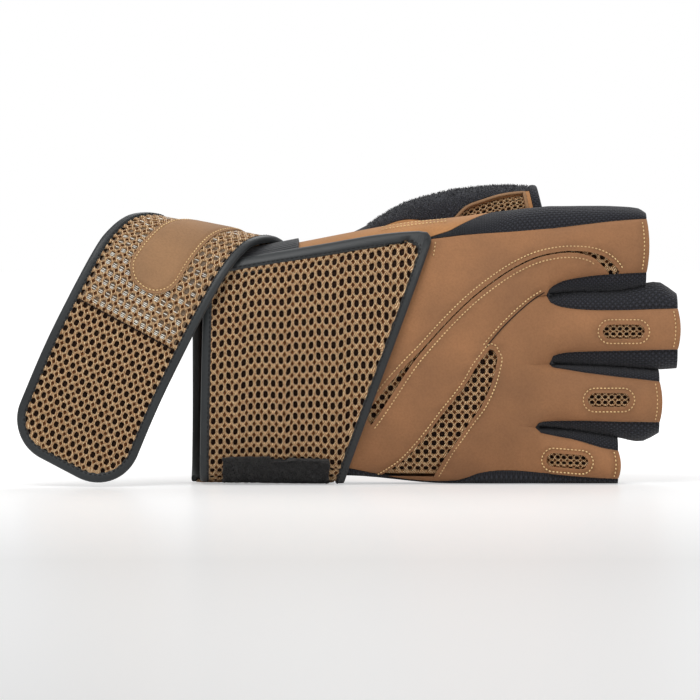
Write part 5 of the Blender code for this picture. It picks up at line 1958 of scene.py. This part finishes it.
@dataclass
class WristWrap:
    """The knitted flap over the back of the wrist, the cuff behind it and what is sewn to them."""

    bench: Bench
    seat: float = 2.5 * MM
    corner: float = 5 * MM
    under_binding: float = 0.984
    left: tuple[float, float] = (-0.010, 0.004)
    right: tuple[float, float] = (0.290, 0.219)
    cuff_start: float = -0.030
    cuff_length: float = 48 * MM
    cuff_drop: float = 0.075
    patch_span: tuple[float, float] = (0.040, 0.262)
    patch_top: float = 0.104
    elastic_span: tuple[float, float] = (0.035, 0.20)

    def build(self) -> None:
        """Build the wrist's pieces."""
        self.flap()
        self.hook_patch()
        self.cuff()
        self.elastic()

    def flap_top(self, along: float) -> float:
        """Return the height of the flap's top edge."""
        return FLAP_TOP.value("height", along)

    def flap_point(self, s: float, t: float, lift: float, inset: float) -> Vector:
        """Find a point of the flap, no lower than the floor.

        Args:
            s: The share from its left to its right edge.
            t: The share from the low fold to its top edge.
            lift: The distance out of the hand's surface.
            inset: The distance in from its edges.

        Returns:
            The point.
        """
        height = 0.45
        for _ in range(4):
            left = mix(*self.left, height) + inset / FORM.length
            right = self.right[0] + self.right[1] * height - inset / FORM.length
            along = mix(left, right, s)
            top = self.flap_top(along) - inset / FORM.width
            below = max(self.corner - (top - height) * FORM.width, 0.0)
            trim = self.corner - math.sqrt(max(self.corner ** 2 - below ** 2, 0.0))
            along -= trim / FORM.length * max(2 * s - 1, 0.0)
            turn = mix(-1.0, FORM.turn_at(along, self.flap_top(along) - inset / FORM.width), t)
            height = FORM.wrap(along, turn, Side.BACK).z / FORM.width
        return self.lifted(along, min(max(turn, -0.999), 1.9), lift)

    def lifted(self, along: float, turn: float, lift: float, side: Side = Side.BACK) -> Vector:
        """Return a point over the wrist at a turn round its section, no lower than the floor."""
        step = 2e-3
        run = FORM.wrap(along + step, turn, side) - FORM.wrap(along - step, turn, side)
        rise = (FORM.wrap(along, turn + step, side) - FORM.wrap(along, turn - step, side)) * -side.value
        return on_floor(FORM.wrap(along, turn, side) + run.cross(rise).normalized() * lift, FLOOR_GAP)

    def flap(self) -> None:
        """Knit the flap, bind its edge and sew the binding."""
        length, height = 0.50 * FORM.length, 89 * MM
        columns = [evenly([self.bare_flap(share, t) for t in shares(0.0, 1.0, 90)], 60)
                   for share in shares(0.0, 0.50, 41)]
        patch = Patch(lambda s, t: columns[round(s * 40)][round(t * 60)], 40, 60)

        def place(x: float, y: float, lift: float) -> Vector:
            """Return the cloth's point at distances from its low left corner."""
            return on_floor(patch.at(x / length, y / height * self.under_binding, lift), FLOOR_GAP)

        def keep(x: float, y: float) -> bool:
            """Say whether a point lies inside the flap's bound edge."""
            point = patch.at(x / length, y / height * self.under_binding)
            along, level = FORM.along_at(point.x), point.z / FORM.width
            margin = 1.9 * MM / FORM.length
            right = self.right[0] + self.right[1] * level - margin
            return mix(*self.left, level) + margin * 0.6 < along < right

        knit = Knit(2.65 * MM, 3.87 * MM)
        item = knit.build("wrist_flap", (length, height), place, keep, self.bench.palette)
        trimmed = self.bench.fit(item, "knitted_mesh", "wrist_band")
        routes = [(0, share) for share in shares(0.16, 0.99, 44)]
        routes += [(share, 1) for share in shares(0.0, 0.97, 44)]
        routes += [(1, share) for share in shares(0.985, 0.16, 60)]
        count = len(routes) - 1

        def edge(s: float, inward: float, lift: float) -> Vector:
            """Return a point of the flap's bound edge."""
            a, b = routes[round(s * count)]
            return self.flap_point(a, b, self.seat - 0.75 * MM + lift, inward)

        sewn = self.bench.bind(("flap_binding", "flap_binding_stitches_and_shadow_line"), edge, count, 250 * MM,
                               "wrist_band_binding")

    def bare_flap(self, along: float, t: float) -> Vector:
        """Return the flap's outer face at a share of the hand's length and a share of its height."""
        turn = mix(-1.0, FORM.turn_at(along, self.flap_top(along)), t)
        return self.lifted(along + mix(*self.left, t), max(turn, -0.999), self.seat)

    def hook_patch(self) -> None:
        """Make the black hook patch at the flap's foot, with its short pile."""
        def place(s: float, t: float) -> Vector:
            """Return the patch's point, with a ragged outline."""
            ragged = 0.007 * noise.noise(Vector((s * 14, t * 9, 2.0)))
            along = mix(*self.patch_span, s) + ragged
            turn = mix(-0.62, FORM.turn_at(along, self.patch_top + ragged), t)
            return self.lifted(along, turn, self.seat + 1.1 * MM)

        mesh = Maker.grid(46, 14, place, (38 * MM, 12 * MM))
        self.bench.piece("hook_base", mesh, "hook_pile", "hook_fastener", "hook_patch", wall=1.0 * MM)
        patch = Patch(place, 46, 14)
        chance, pile = random.Random(11), Swarm()
        spots = ((chance.random(), chance.random()) for _ in range(2600))
        places = ((patch.at(*spot), patch.normal(*spot)) for spot in spots)
        pile.hairs(places, chance, 0.8, (0.4, 0.9), 0.14 * MM)
        self.bench.piece("hook_hairs", pile.gather(), "hook_pile", "hook_fastener", merge=1e-8)

    def cuff_point(self, s: float, t: float, lift: float, inset: float) -> Vector:
        """Return a point of the cuff on the palm side: t runs from its top edge to the low fold."""
        end = self.cuff_start + self.cuff_length / FORM.length
        along = mix(self.cuff_start + inset / FORM.length, end - inset / FORM.length, s)
        top = HAND.value("top_fold", along) - self.cuff_drop - inset / FORM.width
        turn = max(mix(FORM.turn_at(along, top), -1.0, t), -0.965)
        return self.lifted(along, turn, lift, Side.PALM)

    def cuff(self) -> None:
        """Knit the cuff and bind its edge."""
        size = (self.cuff_length - 2 * 1.7 * MM, 76 * MM)
        columns = [evenly([self.cuff_point(share, t, self.seat, 1.7 * MM) for t in shares(0.0, 1.0, 90)], 60)
                   for share in shares(0.0, 1.0, 25)]
        patch = Patch(lambda s, t: columns[round(s * 24)][round(t * 60)], 24, 60)

        def place(x: float, y: float, lift: float) -> Vector:
            """Return the cloth's point."""
            return on_floor(patch.at(x / size[0], y / size[1], lift), FLOOR_GAP)

        item = Knit().build("palm_cuff", size, place, lambda x, y: True, self.bench.palette)
        cloth = self.bench.fit(item, "knitted_mesh", "cuff")
        routes = [(0, share) for share in shares(0.88, 0.01, 50)]
        routes += [(share, 0) for share in shares(0.0, 1.0, 24)]
        routes += [(1, share) for share in shares(0.01, 0.88, 50)]
        count = len(routes) - 1

        def edge(s: float, inward: float, lift: float) -> Vector:
            """Return a point of the cuff's bound edge."""
            a, b = routes[round(s * count)]
            return self.cuff_point(a, b, self.seat - 0.75 * MM + lift, inward)

        sewn = self.bench.bind(("cuff_edge", "cuff_binding_stitches_and_shadow_line"), edge, count, 200 * MM, "cuff_binding")

    def elastic(self) -> None:
        """Make the black elastic over the top of the wrist."""
        def over(along: float, turn: float) -> Vector:
            """Return a point of the wrist's top fold."""
            border, fold = HAND.value("top_border", along), HAND.value("top_fold", along)
            out, up = math.sin(turn * math.pi / 2), math.cos(turn * math.pi / 2)
            return FORM.spot(along, FORM.depth(along, border) * out, mix(border, fold, up))

        patch = Patch(lambda s, t: over(mix(*self.elastic_span, s), mix(-0.93, 0.42, t)), 24, 24)
        mesh = Maker.grid(24, 24, lambda s, t: patch.at(s, t, 1.55 * MM), (28 * MM, 22 * MM))
        cloth = self.bench.piece("top_elastic", mesh, "elastic", "elastic", "wrist_elastic", wall=1.2 * MM)
        width = Walk([patch.at(0.5, t) for t in shares(0.0, 1.0, 25)]).length


@dataclass
class Strap:
    """The long knitted strap with its bound edge, leather tab and hook tape."""

    bench: Bench
    width: float = 46 * MM
    reach: float = 67 * MM
    depth: float = 25 * MM
    knit: float = 1.8 * MM
    round_left: float = 14 * MM
    round_right: float = 17 * MM
    tab_width: float = 19 * MM
    tab_span: tuple[float, float] = (0.22, 0.598)
    tape_span: tuple[float, float] = (0.36, 0.668)
    tape_lift: float = -0.95 * MM

    def build(self) -> None:
        """Build the strap's pieces."""
        self.measure()
        cloth = self.cloth()
        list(self.edge())
        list(self.tab())
        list(self.tape())

    def row(self, position: float) -> tuple[Vector, Vector]:
        """Return the two edges of the strap at a row of its table."""
        edges = []
        for side in ("left", "right"):
            edge = FORM.spot(0, STRAP.value(side + "_depth", position) * self.depth,
                             STRAP.value(side + "_height", position))
            edges.append(edge + Vector((STRAP.value(side, position) * self.reach, 0, 0)))
        return edges[0], edges[1]

    def measure(self) -> None:
        """Sample the strap's outer face at even steps of its length."""
        positions = shares(0, len(STRAP_ROWS) - 1, 400)
        frames = []
        for position in positions:
            left, right = self.row(position)
            frames.append(((left + right) / 2, (right - left).normalized()))
        walk = Walk([middle for middle, _ in frames])
        self.length = walk.length

        def place(s: float, t: float) -> Vector:
            """Return the outer face's point at shares of the length and of the width."""
            index, share = walk.find(s * self.length)
            pairs = zip(frames[index], frames[index + 1])
            middle, side = (first.lerp(second, share) for first, second in pairs)
            return middle + side * (t - 0.5) * self.width

        self.patch = Patch(place, 160, 8)

    def point(self, length: float, across: float, lift: float = 0.0) -> Vector:
        """Return the point at a length, a distance from the middle line and a lift."""
        return self.patch.at(length / self.length, across / self.width + 0.5, lift)

    def out(self, length: float, across: float = 0.0) -> Vector:
        """Return the direction out of the strap at a length and a distance from the middle line."""
        return self.patch.normal(length / self.length, across / self.width + 0.5)

    def half(self, length: float, inset: float, side: int) -> float:
        """Find half the strap's width inside its rounded outline.

        Args:
            length: The length from the sewn end.
            inset: The distance in from the outline.
            side: -1 on the left and 1 on the right.

        Returns:
            The half width, below 0 beyond the end.
        """
        radius = self.round_left if side < 0 else self.round_right
        corner = max(radius - (self.length - length), 0.0)
        inner = (radius - inset) ** 2 - corner ** 2
        if inner < 0:
            return -1.0
        return self.width / 2 - max(radius - math.sqrt(inner), inset)

    def cloth(self) -> Object:
        """Knit the strap.

        Returns:
            The cloth.
        """
        def place(x: float, y: float, lift: float) -> Vector:
            """Return the cloth's point at a distance across and a length."""
            return self.point(y, x - self.width / 2, lift)

        def keep(x: float, y: float) -> bool:
            """Say whether a point lies inside the strap's bound edge."""
            across = x - self.width / 2
            return abs(across) < self.half(y, 1.9 * MM, -1 if across < 0 else 1)

        knit, size = Knit(2.75 * MM, 3.55 * MM), (self.width, self.length)
        inner = knit.layer(size, place, keep, 1.7 * MM)
        bmesh.ops.reverse_faces(inner, faces=inner.faces)
        lining = self.bench.piece("strap_lining", inner, "inner_knit", "knitted_mesh")
        item = knit.build("strap_knit", (self.width, self.length - 0.9 * MM), place, keep, self.bench.palette)
        return self.bench.fit(item, "knitted_mesh", "strap")

    def edge(self) -> list[Object]:
        """Bind the strap's edge, sew the binding and sew the tape's end across the strap.

        Returns:
            The binding and its thread.
        """
        route: list[tuple[float, float, float, float]] = []
        for side, radius in ((-1, self.round_left), (1, self.round_right)):
            part = [(share * (self.length - radius), side, 0.0, radius) for share in shares(0.0, 1.0, 100)]
            part += [(self.length - radius, side, angle, radius) for angle in shares(0.06, math.pi / 2, 18)]
            route += part if side < 0 else part[::-1]
        count = len(route) - 1

        def edge(s: float, inward: float, lift: float) -> Vector:
            """Return a point of the strap's bound edge."""
            start, side, angle, radius = route[round(s * count)]
            along = start + (radius - inward) * math.sin(angle)
            across = side * (self.width / 2 - radius + (radius - inward) * math.cos(angle))
            return self.point(along, across, lift - self.knit / 2)

        across = self.tape_span[1] * self.length + 1.5 * MM
        line = [(self.point(across, share * self.width, 0.1 * MM), self.out(across))
                for share in shares(-0.42, 0.42, 20)]
        names = ("strap_edge", "strap_stitches_and_shadow_line")
        sewn = self.bench.bind(names, edge, count, 2 * self.length, "strap_binding")
        self.bench.threads("strap_cross_stitches", "seam_shadow", "knitted_mesh", [line],
                           Stitching(2.6 * MM, 2.1 * MM, 0.38 * MM))
        return sewn

    def tab_half(self, length: float, inset: float) -> float:
        """Return half the tab's width at a length, inside its rounded end."""
        radius = self.tab_width / 2
        corner = max(radius - (self.tab_span[1] * self.length - length), 0.0)
        return math.sqrt(max((radius - inset) ** 2 - corner ** 2, 0.0))

    def tab(self) -> tuple[Object, Object]:
        """Make the padded leather tab, left bare, and its seam.

        Returns:
            The tab and its thread.
        """
        start, end = self.tab_span[0] * self.length, self.tab_span[1] * self.length
        radius = self.tab_width / 2

        def place(s: float, t: float) -> Vector:
            """Return the tab's point, raised inside its stitched rim."""
            length = mix(start, end, 1 - (1 - s) ** 1.6)
            half = self.tab_half(length, 0.0)
            across = (2 * t - 1) * half
            rim = min(half - abs(across), end - length)
            lift = 0.35 * MM + 0.45 * MM * smoothstep(1.5 * MM, 2.8 * MM, rim)
            return self.point(length, across, lift)

        mesh = Maker.grid(90, 30, place, (end - start, self.tab_width))
        tab = self.bench.piece("tab_leather", mesh, "tab_leather", "leather", "strap_tab", merge=5e-6,
                               wall=0.9 * MM, bevel=0.25 * MM)
        inset, line = 1.15 * MM, []
        for side in (-1, 1):
            inner = radius - inset
            part = [(length, side * inner) for length in shares(start, end - radius, 60)]
            part += [(end - radius + inner * math.sin(angle), side * inner * math.cos(angle))
                     for angle in shares(0.0, math.pi / 2, 24)]
            line += part if side < 0 else part[::-1]
        seam = [(self.point(*place, 0.42 * MM), self.out(*place)) for place in line]
        return tab, self.bench.threads("tab_stitches", "cream_thread", "leather", [seam], Stitching())

    def tape(self) -> tuple[Object, Object]:
        """Lay the hook tape behind the knit, with the bright filaments that show in its holes.

        Returns:
            The tape and its filaments.
        """
        start, end = self.tape_span[0] * self.length, self.tape_span[1] * self.length
        half = self.width / 2 - 4.2 * MM
        mesh = Maker.grid(40, 20, lambda s, t: self.point(
            mix(start, end, s), mix(-half, half, t), self.tape_lift), (end - start, 2 * half))
        tape = self.bench.piece("hook_tape_sheet", mesh, "hook_tape", "hook_tape", "strap_hook_tape")
        chance = random.Random(5)
        filaments = Swarm()
        columns, rows = round(self.width / (2.75 * MM)), round(self.length / (3.55 * MM))
        for cell in range(columns * rows):
            across = (cell // rows + 0.5) * self.width / columns - self.width / 2
            length = (cell % rows + 0.5) * self.length / rows
            if not (start < length < end and abs(across) < half):
                continue
            place, right = length / self.length, smoothstep(6 * MM, 12 * MM, across)
            fade = max(smoothstep(0.47, 0.60, place) * (1 - 0.75 * right), smoothstep(0.60, 0.66, place))
            for shift in (-0.62 * MM, 0.0, 0.58 * MM):
                if chance.random() > 0.12 + 0.82 * fade:
                    continue
                root = self.point(length + shift + chance.uniform(-1, 1) * 0.12 * MM, across, -0.10 * MM)
                out = self.out(length, across)
                side = (self.point(length, across + MM) - self.point(length, across - MM)).normalized()
                tilt = (side + out * chance.uniform(-0.25, 0.25)).normalized()
                run = out.cross(tilt).normalized()
                filaments.bead(root, (tilt * MM, run * 0.18 * MM, out * 0.18 * MM), 4)
        mesh = filaments.gather()
        return tape, self.bench.piece("hook_filaments", mesh, "filament", "hook_tape", merge=1e-8)


@dataclass
class Studio:
    """The pale floor, the soft lights and the camera at the photograph's angle."""

    centre: tuple[float, float] = (-0.060, 0.0478)
    view_width: float = 252 * MM
    lens: float = 260.0
    sensor: float = 36.0
    elevation: float = 1.6
    ambient: float = 0.42
    near_glow: float = 0.04
    far_glow: float = 0.75

    def build(self) -> None:
        """Set up the stage."""
        self.floor()
        self.lights()
        self.camera()

    def floor(self) -> None:
        """Make the pale floor."""
        mesh = bmesh.new()
        bmesh.ops.create_grid(mesh, x_segments=1, y_segments=1, size=6.0)
        look = Look(Finish("pale_floor", (0.90, 0.90, 0.90), 0.30))
        seen = look.add("LightPath").outputs["Is Camera Ray"]
        depth = look.axes(look.add("TexCoord").outputs["Object"])["Y"]
        far = look.ranged(depth, from_min=-0.4, from_max=0.45, to_min=self.near_glow, to_max=self.far_glow)
        look.link(look.math("MULTIPLY", seen, far), look.shader, "Emission Strength")
        look.shader.inputs["Emission Color"].default_value = (1.0, 1.0, 1.0, 1.0)
        item = Maker.object("floor", mesh, (look.material,))
        item.data.transform(Matrix.Translation((0, 0, -0.0002)))

    def lights(self) -> None:
        """Hang two large soft lights and brighten the surroundings."""
        world = bpy.data.worlds.new("studio")
        bpy.context.scene.world = world
        world.use_nodes = True
        nodes = Nodes(world.node_tree)
        seen = nodes.add("LightPath").outputs["Is Camera Ray"]
        background = world.node_tree.nodes["Background"]
        background.inputs["Color"].default_value = (1.0, 1.0, 1.0, 1.0)
        nodes.link(nodes.ranged(seen, to_min=self.ambient, to_max=1.0), background, "Strength")
        for name, place, size, power in (("key", (-0.35, -0.60, 0.95), 0.6, 6.0),
                                         ("fill", (0.65, -0.80, 0.45), 0.8, 1.5),
                                         ("back", (0.10, 0.60, 0.80), 0.6, 3.0)):
            light = bpy.data.lights.new(name, "AREA")
            light.size = size
            light.energy = power
            item = bpy.data.objects.new(name, light)
            item.location = place
            way = Vector((self.centre[0], 0, self.centre[1])) - item.location
            item.rotation_euler = way.to_track_quat("-Z", "Y").to_euler()
            bpy.context.scene.collection.objects.link(item)

    def camera(self) -> None:
        """Place the camera, nearly level and far away."""
        data = bpy.data.cameras.new("camera")
        data.lens = self.lens
        data.sensor_width = self.sensor
        item = bpy.data.objects.new("camera", data)
        distance = self.view_width / 2 * self.lens / (self.sensor / 2)
        angle = math.radians(self.elevation)
        target = Vector((self.centre[0], 0.0, self.centre[1]))
        item.location = target + Vector((0, -math.cos(angle), math.sin(angle))) * distance
        item.rotation_euler = (target - item.location).to_track_quat("-Z", "Y").to_euler()
        bpy.context.scene.collection.objects.link(item)
        bpy.context.scene.camera = item
        bpy.context.scene.view_settings.view_transform = "Standard"


def main() -> None:
    """Build every sub-assembly in order."""
    logging.basicConfig(level=logging.INFO, format="%(name)s: %(message)s")
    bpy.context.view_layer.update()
    bench = Bench(Palette())
    shell = HandShell(bench)
    shell.build()
    Thumb(bench, shell).build()
    WristWrap(bench).build()
    Strap(bench).build()
    bench.clear()
    Studio().build()


if __name__ == "__main__":
    main()
